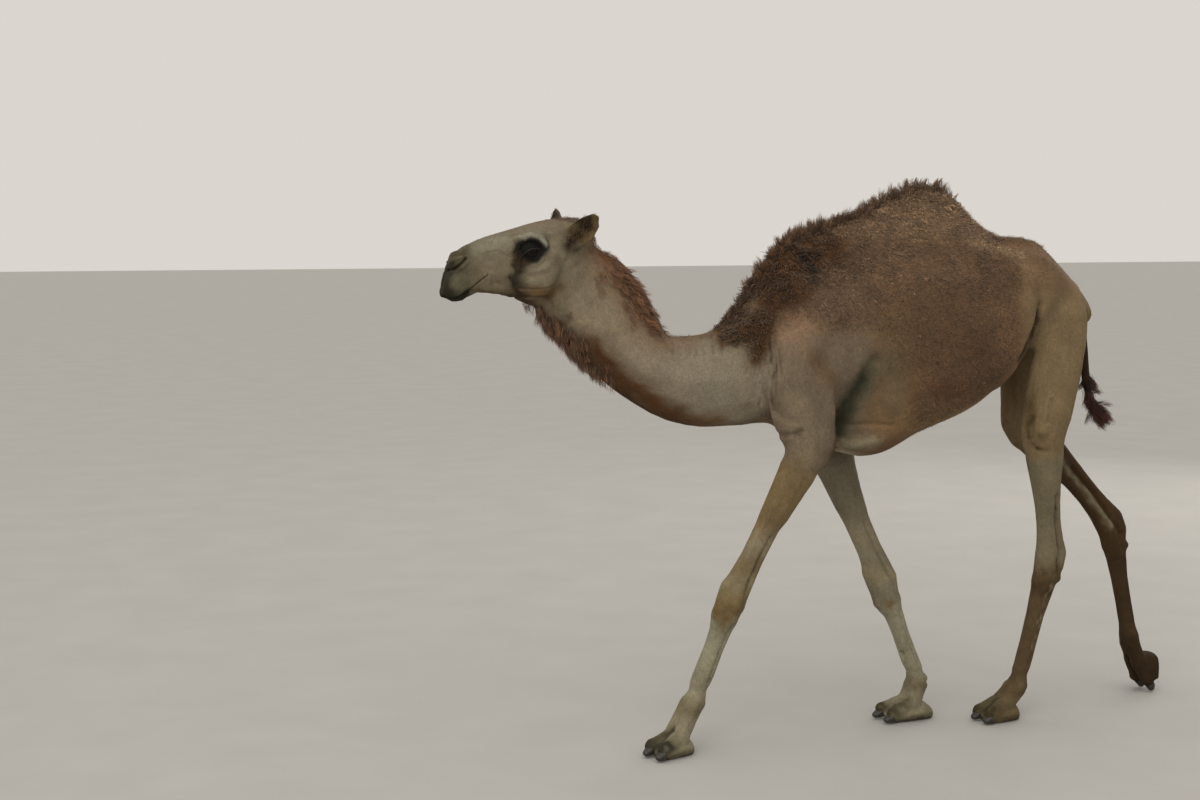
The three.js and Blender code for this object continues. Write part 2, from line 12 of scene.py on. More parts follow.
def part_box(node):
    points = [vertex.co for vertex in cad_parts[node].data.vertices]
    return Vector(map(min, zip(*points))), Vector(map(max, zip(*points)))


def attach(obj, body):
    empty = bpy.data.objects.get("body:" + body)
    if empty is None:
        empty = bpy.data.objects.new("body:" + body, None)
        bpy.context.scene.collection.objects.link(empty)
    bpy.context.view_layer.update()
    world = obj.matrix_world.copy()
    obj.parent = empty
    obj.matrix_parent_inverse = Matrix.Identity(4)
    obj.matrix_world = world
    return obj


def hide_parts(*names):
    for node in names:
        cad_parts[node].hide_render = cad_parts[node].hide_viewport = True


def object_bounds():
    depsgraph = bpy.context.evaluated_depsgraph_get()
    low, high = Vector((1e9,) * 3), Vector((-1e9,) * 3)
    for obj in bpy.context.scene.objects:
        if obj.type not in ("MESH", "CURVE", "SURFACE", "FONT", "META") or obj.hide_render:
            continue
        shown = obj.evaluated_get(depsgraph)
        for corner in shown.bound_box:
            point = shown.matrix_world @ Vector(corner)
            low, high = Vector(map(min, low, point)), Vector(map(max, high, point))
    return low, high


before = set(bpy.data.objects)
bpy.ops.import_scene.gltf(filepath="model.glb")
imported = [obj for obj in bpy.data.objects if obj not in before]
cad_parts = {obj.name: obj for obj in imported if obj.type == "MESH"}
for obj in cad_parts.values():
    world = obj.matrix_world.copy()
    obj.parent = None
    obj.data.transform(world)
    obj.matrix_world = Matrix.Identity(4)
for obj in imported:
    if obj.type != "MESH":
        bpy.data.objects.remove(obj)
cad_low, cad_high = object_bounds()
rng = np.random.default_rng(12)

LEFT, RIGHT = -1, 1
SIDES = (LEFT, RIGHT)
BOX = {name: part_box(name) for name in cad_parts}
FLESH = [name for name in sorted(BOX) if "nail" not in name and not name.startswith("eye")]
NAILS = [name for name in sorted(BOX) if "nail" in name]
LEGS = ("foreleg_left", "foreleg_right", "hindleg_left", "hindleg_right")
TOE_TIP_LEG = "hindleg_right"       # the leg that rests on its toe tips

FIRST_NET = 0.005                   # metres between points of the skin before it is refined
CAGE_NET = 0.025                    # the same for the cage that the coat is unwrapped on
ROOTS_NET, DENSE_NET = 0.0062, 0.0045
LEG_HAIR_NET, FACE_HAIR_NET = 0.0052, 0.0042
SKIN_TRIANGLES = 192000
SKIN_MARGIN, HAIR_MARGIN = 0.0003, 0.0005    # how far skin and hair stay inside the size of the solids
LENS_HEIGHT = 1.65
MID_TRUNK = 0.42                    # x that parts the fore from the hind quarters


# ---------------------------------------------------------------- camera, floor and lights

def linked(name, data):
    """A new object in the scene."""
    made = bpy.data.objects.new(name, data)
    bpy.context.scene.collection.objects.link(made)
    return made


def look_from(place, turn, tip, lens):
    """The camera: turn is from straight ahead and tip below the level, both in degrees."""
    camera = linked("camera", bpy.data.cameras.new("camera"))
    camera.location = place
    camera.rotation_euler = (math.radians(90 - tip), 0, math.radians(-turn))
    camera.data.lens = lens
    camera.data.sensor_width = 36
    bpy.context.scene.camera = camera


def lamp(name, place, aim, size, power, colour):
    light = bpy.data.lights.new(name, "AREA")
    light.shape = "DISK"
    light.size = size
    light.energy = power
    light.color = colour
    holder = linked(name, light)
    holder.location = place
    holder.rotation_euler = (Vector(aim) - Vector(place)).to_track_quat("-Z", "Y").to_euler()


look_from((-2.752, -5.332, LENS_HEIGHT), 20, 5.446, 56)
lamp("front_panel", (-9.0, -10.0, 6.0), (0, 0, 0.9), 7.0, 560, (1.0, 0.95, 0.88))
lamp("rear_panel", (5.5, 4.0, 3.2), (0, 0, 1.0), 3.5, 70, (1.0, 0.96, 0.92))
sky = bpy.data.lights.new("sky_light", "SUN")
sky.energy, sky.angle, sky.color = 0.95, 1.2, (1.0, 0.97, 0.92)
linked("sky_light", sky).rotation_euler = (0.35, -0.25, 0)
world = bpy.data.worlds.new("room")
world.use_nodes = True
world.node_tree.nodes["Background"].inputs["Color"].default_value = (0.88, 0.84, 0.78, 1)
world.node_tree.nodes["Background"].inputs["Strength"].default_value = 0.80
bpy.context.scene.world = world
bpy.context.scene.view_settings.view_transform = "Standard"


# ---------------------------------------------------------------- node materials

def paint(name):
    finish = bpy.data.materials.new(name)
    finish.use_nodes = True
    return finish, finish.node_tree, finish.node_tree.nodes["Principled BSDF"]


def add(tree, kind, values=None, links=None):
    """A node with its sockets set by number or joined to others."""
    made = tree.nodes.new(kind)
    for key, value in (values or {}).items():
        if isinstance(key, int) or key in made.inputs:
            made.inputs[key].default_value = value
        else:
            setattr(made, key, value)
    for key, source in (links or {}).items():
        tree.links.new(source, made.inputs[key])
    return made


def speckle(tree, scale, detail=3.0, stretch=(1, 1, 1)):
    """Noise on object coordinates, which a stretch draws out along one way."""
    place = add(tree, "ShaderNodeTexCoord")
    mapped = add(tree, "ShaderNodeMapping", links={"Vector": place.outputs["Object"]})
    mapped.inputs["Scale"].default_value = stretch
    return add(tree, "ShaderNodeTexNoise", {"Scale": scale, "Detail": detail}, {"Vector": mapped.outputs[0]})


def tinted(tree, colour, noise, low, high):
    """A colour made lighter and darker by noise."""
    span = add(tree, "ShaderNodeMapRange", {"To Min": low, "To Max": high, "From Min": 0.3, "From Max": 0.7},
               {"Value": noise.outputs["Fac"]})
    mixed = add(tree, "ShaderNodeVectorMath", {"operation": "SCALE"}, {0: colour, "Scale": span.outputs[0]})
    return mixed.outputs[0]


def bumped(tree, shader, noise, distance):
    bump = add(tree, "ShaderNodeBump", {"Strength": 1.0, "Distance": distance}, {"Height": noise.outputs["Fac"]})
    tree.links.new(bump.outputs[0], shader.inputs["Normal"])


def short_fur():
    """Short hair on the skin: the markings with their painted shade, with fine streaks, and a knobbly nap under the
    curls.
    """
    finish, tree, shader = paint("short_fur")
    marks = add(tree, "ShaderNodeAttribute", {"attribute_name": "coat"})
    down = speckle(tree, 900, 2, (1, 1, 0.12))
    broad = speckle(tree, 60, 4)
    nap = speckle(tree, 170, 3)
    curls = add(tree, "ShaderNodeAttribute", {"attribute_name": "curls"})
    colour = tinted(tree, marks.outputs["Color"], down, 0.84, 1.16)
    colour = tinted(tree, colour, broad, 0.92, 1.08)
    colour = tinted(tree, colour, nap, 0.88, 1.12)
    tree.links.new(colour, shader.inputs["Base Color"])
    shader.inputs["Roughness"].default_value = 0.85
    shader.inputs["Specular IOR Level"].default_value = 0.2
    knobs = add(tree, "ShaderNodeMath", {"operation": "MULTIPLY"}, {0: nap.outputs["Fac"], 1: curls.outputs["Fac"]})
    first = add(tree, "ShaderNodeBump", {"Distance": 0.006}, {"Height": knobs.outputs[0]})
    second = add(tree, "ShaderNodeBump", {"Distance": 0.0008},
                 {"Height": down.outputs["Fac"], "Normal": first.outputs[0]})
    tree.links.new(second.outputs[0], shader.inputs["Normal"])
    return finish


def wool(name, roughness, sheen):
    finish, tree, shader = paint(name)
    hair = add(tree, "ShaderNodeAttribute", {"attribute_name": "hair"})
    fine = speckle(tree, 700, 2)
    colour = tinted(tree, hair.outputs["Color"], fine, 0.8, 1.2)
    tree.links.new(colour, shader.inputs["Base Color"])
    shader.inputs["Roughness"].default_value = roughness
    shader.inputs["Specular IOR Level"].default_value = 0.3
    shader.inputs["Sheen Weight"].default_value = sheen
    shader.inputs["Sheen Roughness"].default_value = 0.6
    bumped(tree, shader, fine, 0.0004)
    return finish


def eyeball():
    finish, tree, shader = paint("eyeball")
    ring = add(tree, "ShaderNodeAttribute", {"attribute_name": "iris"})
    ramp = add(tree, "ShaderNodeValToRGB", links={"Fac": ring.outputs["Fac"]})
    stops = ramp.color_ramp.elements
    stops[0].position, stops[0].color = 0.0, (0.002, 0.002, 0.002, 1)
    stops[1].position, stops[1].color = 1.0, (0.014, 0.010, 0.008, 1)
    for position, colour in ((0.3, (0.003, 0.002, 0.002, 1)), (0.38, (0.012, 0.006, 0.003, 1)),
                             (0.68, (0.008, 0.004, 0.002, 1)), (0.75, (0.004, 0.003, 0.002, 1))):
        stop = stops.new(position)
        stop.color = colour
    colour = tinted(tree, ramp.outputs["Color"], speckle(tree, 900), 0.8, 1.2)
    tree.links.new(colour, shader.inputs["Base Color"])
    shader.inputs["Roughness"].default_value = 0.10
    shader.inputs["Specular IOR Level"].default_value = 0.14
    return finish


def horn():
    finish, tree, shader = paint("horn")
    streaks = speckle(tree, 300, 3, (1, 1, 0.25))
    dark = add(tree, "ShaderNodeRGB")
    dark.outputs[0].default_value = (0.020, 0.017, 0.013, 1)
    colour = tinted(tree, dark.outputs[0], streaks, 0.6, 1.9)
    tree.links.new(colour, shader.inputs["Base Color"])
    shader.inputs["Roughness"].default_value = 0.5
    bumped(tree, shader, streaks, 0.0006)
    return finish


def pale_floor():
    finish, tree, shader = paint("pale_floor")
    pale = add(tree, "ShaderNodeRGB")
    pale.outputs[0].default_value = (0.40, 0.39, 0.37, 1)
    tree.links.new(tinted(tree, pale.outputs[0], speckle(tree, 3), 0.97, 1.03), shader.inputs["Base Color"])
    shader.inputs["Roughness"].default_value = 0.9
    return finish


def placed(name, mesh, finish):
    """An object at the origin that holds a mesh."""
    piece = linked(name, mesh)
    mesh.materials.clear()
    mesh.materials.append(finish)
    return piece


sheet = bmesh.new()
bmesh.ops.create_grid(sheet, x_segments=2, y_segments=2, size=60)
floor_mesh = bpy.data.meshes.new("floor")
sheet.to_mesh(floor_mesh)
sheet.free()
placed("floor", floor_mesh, pale_floor())


# ---------------------------------------------------------------- places on the animal

HEAD_TIP = math.radians(26)
NOSEWARD = np.array((-math.cos(HEAD_TIP), 0, -math.sin(HEAD_TIP)))
BROWWARD = np.array((-math.sin(HEAD_TIP), 0, math.cos(HEAD_TIP)))
EYES = {side: np.array(sum(BOX[name], Vector()) / 2) for side, name in ((LEFT, "eye_left"), (RIGHT, "eye_right"))}
EYE_RADIUS = (BOX["eye_left"][1].x - BOX["eye_left"][0].x) / 2
NAPE = (EYES[LEFT] + EYES[RIGHT]) / 2 - 0.168 * NOSEWARD - 0.042 * BROWWARD


def unit(vectors):
    vectors = np.asarray(vectors, float)
    return vectors / np.maximum(np.linalg.norm(vectors, axis=-1, keepdims=True), 1e-9)


def in_head(along, up):
    """A place from the nape, in millimetres towards the nose and towards the brow."""
    return NAPE + along / 1000 * NOSEWARD + up / 1000 * BROWWARD


def middle(node):
    return np.array((BOX[node][0] + BOX[node][1]) / 2)


def nail_place(leg, which):
    return np.array(sum(BOX[f"{leg}_nail_{which}"], Vector()) / 2)


def corners_of(node):
    return (np.array(corner) for corner in BOX[node])


def share(node, along, up):
    """A place at shares of the length and the height of a node's box."""
    low, high = BOX[node]
    return np.array((low.x + along * (high.x - low.x), 0, low.z + up * (high.z - low.z)))


# ---------------------------------------------------------------- the skin's first shape

def copied(node):
    shape = bmesh.new()
    shape.from_mesh(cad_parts[node].data)
    bmesh.ops.remove_doubles(shape, verts=shape.verts, dist=1e-5)
    return shape


def hull_of(shape):
    solid = bmesh.new()
    for corner in shape.verts:
        solid.verts.new(corner.co)
    made = bmesh.ops.convex_hull(solid, input=solid.verts)
    spare = {part for part in made["geom_interior"] + made["geom_unused"] if isinstance(part, bmesh.types.BMVert)}
    bmesh.ops.delete(solid, geom=list(spare), context="VERTS")
    return solid


def settled(holder):
    """The mesh of an object with its modifiers applied. The object goes."""
    graph = bpy.context.evaluated_depsgraph_get()
    made = bpy.data.meshes.new_from_object(holder.evaluated_get(graph))
    bpy.data.objects.remove(holder)
    return made


def voxels(mesh, size):
    """A mesh with one even net of faces over everything in it."""
    holder = linked("holder", mesh)
    change = holder.modifiers.new("net", "REMESH")
    change.mode = "VOXEL"
    change.voxel_size = size
    return settled(holder)


def all_flesh():
    whole = bmesh.new()
    for node in FLESH:
        shape = copied(node)
        if node.startswith("ear"):
            shape = hull_of(shape)
        shape.normal_update()
        for corner in shape.verts:
            corner.co += corner.normal * 0.0008 * min(corner.calc_shell_factor(), 2)
        part = bpy.data.meshes.new("part")
        shape.to_mesh(part)
        shape.free()
        whole.from_mesh(part)
        bpy.data.meshes.remove(part)
    for side in SIDES:
        ball = bmesh.ops.create_icosphere(whole, subdivisions=3, radius=EYE_RADIUS + 0.0015)
        bmesh.ops.translate(whole, verts=ball["verts"], vec=EYES[side])
    mesh = bpy.data.meshes.new("flesh")
    whole.to_mesh(mesh)
    whole.free()
    return mesh


def rows_of(items, key, width, kind=np.float32):
    flat = np.empty(len(items) * width, kind)
    items.foreach_get(key, flat)
    return flat.reshape(-1, width)


def points_of(mesh):
    return rows_of(mesh.vertices, "co", 3).astype(float)


def links_of(mesh):
    return rows_of(mesh.edges, "vertices", 2, np.int32)


def normals_of(mesh):
    return rows_of(mesh.vertex_normals, "vector", 3).astype(float)


def move_points(mesh, points):
    mesh.vertices.foreach_set("co", points.astype(np.float32).ravel())
    mesh.update()


def relax(values, links, steps, limit=None):
    """Evens values out between joined points. A limit gives each point its own number of steps."""
    values = np.array(values, float)
    flat = values.reshape(len(values), -1)
    first, second = links.T
    count = np.maximum(np.bincount(links.ravel(), minlength=len(flat)), 1)
    for step in range(steps):
        total = np.stack([np.bincount(first, column[second], len(flat))
                          + np.bincount(second, column[first], len(flat)) for column in flat.T], 1)
        pull = 0.9 if limit is None else 0.9 * np.clip(limit - step, 0, 1)[:, None]
        flat += (total / count[:, None] - flat) * pull
    return values


owner_points, owner_faces, OWNER = [], [], []
for index, node in enumerate(FLESH):
    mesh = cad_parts[node].data
    base = len(owner_points)
    owner_points += [tuple(p) for p in points_of(mesh)]
    owner_faces += [tuple(base + corner for corner in face.vertices) for face in mesh.polygons]
    OWNER += [index] * len(mesh.polygons)
OWNER = np.array(OWNER)
OWNER_TREE = BVHTree.FromPolygons(owner_points, owner_faces)


def owners(points):
    """Which node each point belongs to, as a number in FLESH."""
    return OWNER[[OWNER_TREE.find_nearest(p)[2] for p in points.tolist()]]


# For each node: the depth of the coat, how far the facets are evened out and the length of the hair, in
# millimetres, and the ground colour.
COAT = {
    "head": (1.5, 7, 7, "675f4e"), "jaw": (2, 8, 8, "685f4c"), "ear": (1.0, 4, 9, "65563a"),
    "neck_upper": (5, 16, 12, "786d5b"), "neck_middle": (4.5, 18, 12, "7a7060"),
    "neck_lower": (4.5, 18, 12, "746c5c"), "hump": (12, 24, 15, "886f55"), "chest": (8, 26, 14, "66513d"),
    "barrel": (6.5, 30, 10.5, "624b36"), "rump": (5.5, 28, 10, "69543d"), "shoulder": (4.5, 22, 11, "635647"),
    "thigh": (4.5, 22, 11, "6b5b42"), "forearm": (0.6, 13, 9, "6c614c"), "shank": (0.6, 13, 9, "665e4a"),
    "cannon": (0.3, 9, 8, "78735f"), "foot": (0.2, 6, 7, "6f6854"), "tail_dock": (5, 6, 14, "2e2013"),
    "tail_tuft": (20, 5, 20, "1d1209"),
}
GAIN = 1.22                         # every coat colour is lifted by this
KEYS = list(COAT)
KIND = np.array([next(KEYS.index(key) for key in KEYS if key in node) for node in FLESH])
# Which way the hair lies on each part. On a leg it runs towards the next part down.
FLOW = {
    "head": (0.93, 0, 0.2), "jaw": (0.95, 0, -0.15), "neck_upper": (0.3, 0, -0.95), "neck_middle": (0.6, 0, -0.8),
    "neck_lower": (0.88, 0, -0.45), "hump": (0.4, 0, -0.9), "chest": (0.35, 0, -0.93), "barrel": (0.5, 0, -0.85),
    "rump": (0.6, 0, -0.8), "tail_dock": (0.1, 0, -1), "tail_tuft": (0.1, 0, -1),
    "ear_left": (0.51, -0.5, 0.87), "ear_right": (0.16, 0.5, 0.95),
}
for leg in LEGS:
    fore = leg.startswith("fore")
    upper_parts = ("shoulder", "forearm") if fore else ("thigh", "shank")
    chain = [leg + "_" + part for part in upper_parts + ("cannon", "foot")]
    for upper, lower in zip(chain[:-1], chain[1:]):
        FLOW[upper] = tuple(middle(lower) - middle(upper))
    FLOW[chain[3]] = (-0.45, 0, -0.9)


def hex_colour(text):
    """Linear colour from a six-figure one."""
    shade = np.array([int(text[i:i + 2], 16) / 255 for i in (0, 2, 4)])
    return np.where(shade <= 0.04045, shade / 12.92, ((shade + 0.055) / 1.055) ** 2.4)


def far(points, route):
    """How far points are from a line through the route's places."""
    best = np.full(len(points), 9.0)
    for start, end in zip(route[:-1], route[1:]):
        way = end - start
        along = np.clip((points - start) @ way / max(way @ way, 1e-12), 0, 1)
        best = np.minimum(best, np.linalg.norm(points - start - along[:, None] * way, axis=1))
    return best


def near_weight(points, route, width):
    """1 on the route, falling to 0 at about twice the width, with the points that it reaches."""
    if len(route) == 0:
        return np.zeros(0, int), np.zeros(0)
    low, high = route.min(0) - 2.6 * width, route.max(0) + 2.6 * width
    close = np.nonzero(np.all((points > low) & (points < high), axis=1))[0]
    return close, np.exp(-(far(points[close], route) / width) ** 2)


class Skin:
    """The skin's mesh and what is known at each of its points."""

    def __init__(self, mesh):
        self.mesh = mesh
        self.read()

    def read(self):
        self.points = points_of(self.mesh)
        self.normals = normals_of(self.mesh)
        self.links = links_of(self.mesh)
        self.tree = None

    def move(self, points):
        move_points(self.mesh, points)
        self.points = points_of(self.mesh)
        self.normals = normals_of(self.mesh)
        self.tree = None

    def aim(self, start, way):
        """Where a ray meets the skin."""
        if self.tree is None:
            faces = [tuple(face.vertices) for face in self.mesh.polygons]
            self.tree = BVHTree.FromPolygons(self.points.tolist(), faces)
        hit = self.tree.ray_cast(Vector(start), Vector(way))[0]
        return None if hit is None else np.array(hit)

    def across(self, side, place, start=0.5):
        """The skin's outside at a place seen from one side."""
        return self.aim((place[0], side * start, place[2]), (0, -side, 0))

    def press(self, strokes):
        """Raises or lowers the skin along routes: each stroke is a route, a width and a height in mm."""
        lift = np.zeros(len(self.points))
        for route, width, height in strokes:
            close, weight = near_weight(self.points, route, width / 1000)
            lift[close] += weight * height / 1000
        self.move(self.points + self.normals * lift[:, None])


def route(places):
    """A route through the places that were found."""
    kept = np.array([place for place in places if place is not None])
    return np.repeat(kept, 2, axis=0) if len(kept) == 1 else kept


def body_line(side, *marks):
    """A route over one side of the body: a node's name, then pairs of shares of its box, and so on."""
    found, marks = [], list(marks)
    while marks:
        if isinstance(marks[0], str):
            node = marks.pop(0)
        found.append(skin.across(side, share(node, marks.pop(0), marks.pop(0))))
    return route(found)


def head_line(side, *places):
    """A route over one side of the head, in pairs of millimetres along and up."""
    return route([skin.across(side, in_head(*place), 0.3) for place in np.reshape(places, (-1, 2)).tolist()])


def leg_line(node, *places):
    """A route on a leg, in pairs: a share of the node's height and a turn from the front, outwards."""
    side = LEFT if "left" in node else RIGHT
    low, high = BOX[node]
    near = (skin.points > np.array(low) - 0.004) & (skin.points < np.array(high) + 0.004)
    inside = skin.points[np.all(near, axis=1)]
    found = []
    for up, turn in np.reshape(places, (-1, 2)).tolist():
        level = low.z + up * (high.z - low.z)
        ring = inside[np.abs(inside[:, 2] - level) < 0.007]
        if len(ring) == 0:
            continue
        centre = (ring.min(0) + ring.max(0)) / 2
        angle = math.radians(turn)
        way = Vector((-math.cos(angle), side * math.sin(angle), 0))
        found.append(skin.aim(Vector((centre[0], centre[1], level)) + way * 0.25, -way))
    return route(found)


MOST_STEPS = 85
skin = Skin(voxels(all_flesh(), FIRST_NET))
kinds = KIND[owners(skin.points)]
table = np.array([COAT[key][:3] for key in KEYS], float)
steps = relax((table[kinds, 1] ** 2) / 11.25, skin.links, 12)
faceted = skin.points
skin.move(relax(faceted, skin.links, MOST_STEPS, steps))
lost = relax(np.sum((faceted - skin.points) * skin.normals, axis=1), skin.links, MOST_STEPS, steps)
skin.move(skin.points + skin.normals * lost[:, None])
depth = relax(table[kinds, 0], skin.links, 18) / 1000
up_facing = np.clip(skin.normals[:, 2], 0, 1)
depth = depth + 0.018 * np.clip((skin.points[:, 2] - 1.60) / 0.12, 0, 1) * up_facing
skin.move(skin.points - skin.normals * depth[:, None])


# ---------------------------------------------------------------- forms of the body

def named(side, limb, part):
    """A leg's part on one side of the body."""
    return f"{limb}_{'left' if side == LEFT else 'right'}_{part}"


forms = []
for side in SIDES:
    body = partial(body_line, side)
    thigh = named(side, "hindleg", "thigh")
    shoulder = named(side, "foreleg", "shoulder")
    forms += [
        (body("neck_lower", 1.16, 0.78, 1.12, 0.62, 1.09, 0.42, 1.07, 0.24, 1.08, 0.15), 11, -12),
        (body("neck_lower", 1.24, 0.62, 1.18, 0.42, 1.12, 0.22), 22, 8),
        (body("neck_lower", 0.9, 0.6, 0.88, 0.42, 0.84, 0.22), 18, 6),
        (body("chest", 0.74, 0.62, 0.82, 0.52, 0.8, 0.4, 0.73, 0.28, 0.68, 0.16), 26, -12),
        (body("chest", 0.3, 0.7, 0.34, 0.56, 0.26, 0.4), 60, 8),
        (body("foreleg_left_shoulder", 0.6, 0.66, 0.62, 0.45), 42, 9),
        (body("barrel", -0.02, 0.46, -0.1, 0.33, -0.17, 0.18), 24, -20),
        (body("barrel", 0.06, 0.44, 0.0, 0.26), 50, -7), (body("barrel", 0.12, 0.1, -0.05, 0.08), 26, 9),
        (body("barrel", 0.16, 0.17, 0.02, 0.18, -0.12, 0.17), 9, -5), (body("barrel", 0.34, 0.56, 0.4, 0.4), 110, 6),
        (body("barrel", 0.8, 0.9, 0.96, 0.84), 34, -10), (body("barrel", 0.7, 0.93, 0.98, 0.93), 24, 6),
        (body("rump", 0.18, 0.54, thigh, 0.19, 0.82, 0.12, 0.72, 0.06, 0.62), 13, -18),
        (body("rump", 0.12, 0.975, 0.34, 0.945), 20, 8),
        (body("rump", 0.08, 0.68, 0.04, 0.54, "barrel", 0.98, 0.44, 0.9, 0.34), 26, 9),
        (body(thigh, 0.38, 0.84, 0.28, 0.66, 0.22, 0.5), 26, 8), (body("rump", 0.28, 0.84), 26, 12),
        (body("rump", 0.2, 0.74), 34, 6), (body("rump", 0.78, 0.66), 30, 9), (body("rump", 0.5, 0.84), 36, -6),
        (body("rump", 0.52, 0.66, 0.5, 0.44), 55, -7), (body(thigh, 0.36, 0.36, 0.33, 0.24), 9, -7),
        (body(thigh, 0.27, 0.17), 18, 17), (body(thigh, 0.21, 0.26, 0.195, 0.14), 8, -8),
        (body(thigh, 0.26, 0.07, 0.34, 0.05), 9, -6), (body(thigh, 0.12, 0.36), 34, 5),
        (body(thigh, 0.62, 0.55, 0.52, 0.28), 50, 8), (body(shoulder, 0.16, 0.36, 0.24, 0.3, 0.36, 0.33), 10, -8),
        (body(shoulder, 0.16, 0.46, 0.3, 0.4), 10, -5), (body(shoulder, 0.64, 0.21), 20, 9),
    ]
    for along in (1.06, 1.17):
        forms.append((body("neck_lower", along, 0.56, along - 0.03, 0.4, along - 0.06, 0.18), 4, -4.5))
    for along in (0.02, 0.12, 0.22, 0.31, 0.40, 0.50, 0.60):
        forms.append((body("neck_lower", along + 0.03, 0.8, along, 0.66, along - 0.03, 0.54), 5, -5))
skin.press(forms)

limbs = []
for leg in LEGS:
    fore = leg.startswith("fore")
    upper = leg + ("_forearm" if fore else "_shank")
    cannon, foot = leg + "_cannon", leg + "_foot"
    if fore:
        limbs += [
            (leg_line(upper, 0.5, 118, 0.34, 118, 0.16, 116), 8, -8), (leg_line(upper, 0.55, 242, 0.2, 244), 8, -6),
            (leg_line(upper, 0.86, 40, 0.64, 40), 28, 6), (leg_line(upper, 0.84, 140, 0.62, 150), 28, 5),
            (leg_line(upper, 0.2, 0, 0.0, 0), 30, 9), (leg_line(cannon, 0.95, 0), 24, 6),
            (leg_line(upper, 0.14, 90, 0.0, 90), 30, 6), (leg_line(upper, 0.14, 270, 0.0, 270), 30, 6),
            (leg_line(cannon, 0.99, 180), 22, 8), (leg_line(cannon, 0.9, 60), 9, -4),
            (leg_line(cannon, 0.89, 0), 9, -4),
        ]
    else:
        limbs += [
            (leg_line(upper, 0.66, 128, 0.45, 126, 0.24, 124, 0.08, 122), 8, -14),
            (leg_line(upper, 0.66, 232, 0.45, 234, 0.12, 238), 8, -13), (leg_line(upper, 0.03, 180), 16, 5),
            (leg_line(upper, 0.8, 60, 0.6, 60), 28, 5), (leg_line(upper, 0.04, 90), 18, 4),
            (leg_line(upper, 0.04, 0), 18, 4), (leg_line(cannon, 0.97, 180), 15, 9),
            (leg_line(cannon, 0.96, 70, 0.9, 70), 16, 6), (leg_line(cannon, 0.96, 290, 0.9, 290), 16, 6),
            (leg_line(cannon, 0.95, 0), 16, 5),
        ]
    limbs += [
        (leg_line(cannon, 0.84, 112, 0.5, 112, 0.16, 114), 7, -6),
        (leg_line(cannon, 0.84, 248, 0.5, 248, 0.16, 246), 7, -6),
    ]
    if leg != TOE_TIP_LEG:
        joint = 0.78 if leg == "foreleg_left" else 0.82
        limbs += [
            (leg_line(foot, joint, 90), 20, 8), (leg_line(foot, joint, 270), 20, 8),
            (leg_line(foot, joint, 180), 20, 8), (leg_line(foot, joint, 20), 18, 5),
            (leg_line(cannon, *((0.06, turn) for turn in range(0, 361, 40))), 16, -4),
            (leg_line(foot, 0.42, 180), 24, 12 if leg == "foreleg_right" else 6),
            (leg_line(foot, 0.28, 140, 0.28, 220), 18, 6),
        ]
    else:
        limbs += [
            (leg_line(cannon, 0.03, 90), 20, 7), (leg_line(cannon, 0.03, 270), 20, 7),
            (leg_line(cannon, 0.02, 180), 26, 6),
        ]
skin.press(limbs)

# The shins are filled out evenly all round.
SHIN = {"foreleg_left": 8.0, "foreleg_right": 5.0, "hindleg_left": 3.0, "hindleg_right": 2.5}
lift = np.zeros(len(skin.points))
for leg, amount in SHIN.items():
    low, high = corners_of(leg + "_cannon")
    near = np.all((skin.points > low - 0.02) & (skin.points < high + 0.02), axis=1)
    up = (skin.points[:, 2] - low[2]) / (high[2] - low[2])
    lift += near * np.clip((up - 0.02) / 0.2, 0, 1) * np.clip((0.97 - up) / 0.15, 0, 1) * amount / 1000
skin.move(skin.points + skin.normals * lift[:, None])


# ---------------------------------------------------------------- finer net on the head and feet

def refine(mesh, inside):
    """Cuts the faces whose corners a test picks into four."""
    shape = bmesh.new()
    shape.from_mesh(mesh)
    chosen = inside(points_of(mesh))
    edges = [edge for edge in shape.edges if chosen[edge.verts[0].index] and chosen[edge.verts[1].index]]
    bmesh.ops.subdivide_edges(shape, edges=edges, cuts=1, use_grid_fill=True, smooth=0.0)
    shape.to_mesh(mesh)
    shape.free()
    mesh.update()


def in_front(points):
    along = (points - NAPE) @ NOSEWARD
    return (along > -0.09) & (points[:, 0] < -0.78) & (points[:, 2] > 1.28)


def on_feet(points):
    low = points[:, 2] < 0.13
    toes = (points[:, 0] > 1.14) & (points[:, 2] < 0.22)
    return low | toes


def within(points, places, reach):
    close = np.zeros(len(points), bool)
    for place in places:
        picked, weight = near_weight(points, place, reach / 1.6)
        close[picked[weight > 0.18]] = True
    return close


refine(skin.mesh, lambda points: in_front(points) | on_feet(points))
skin.read()
skin.move(relax(skin.points, skin.links, 3, 3.0 * (in_front(skin.points) | on_feet(skin.points))))

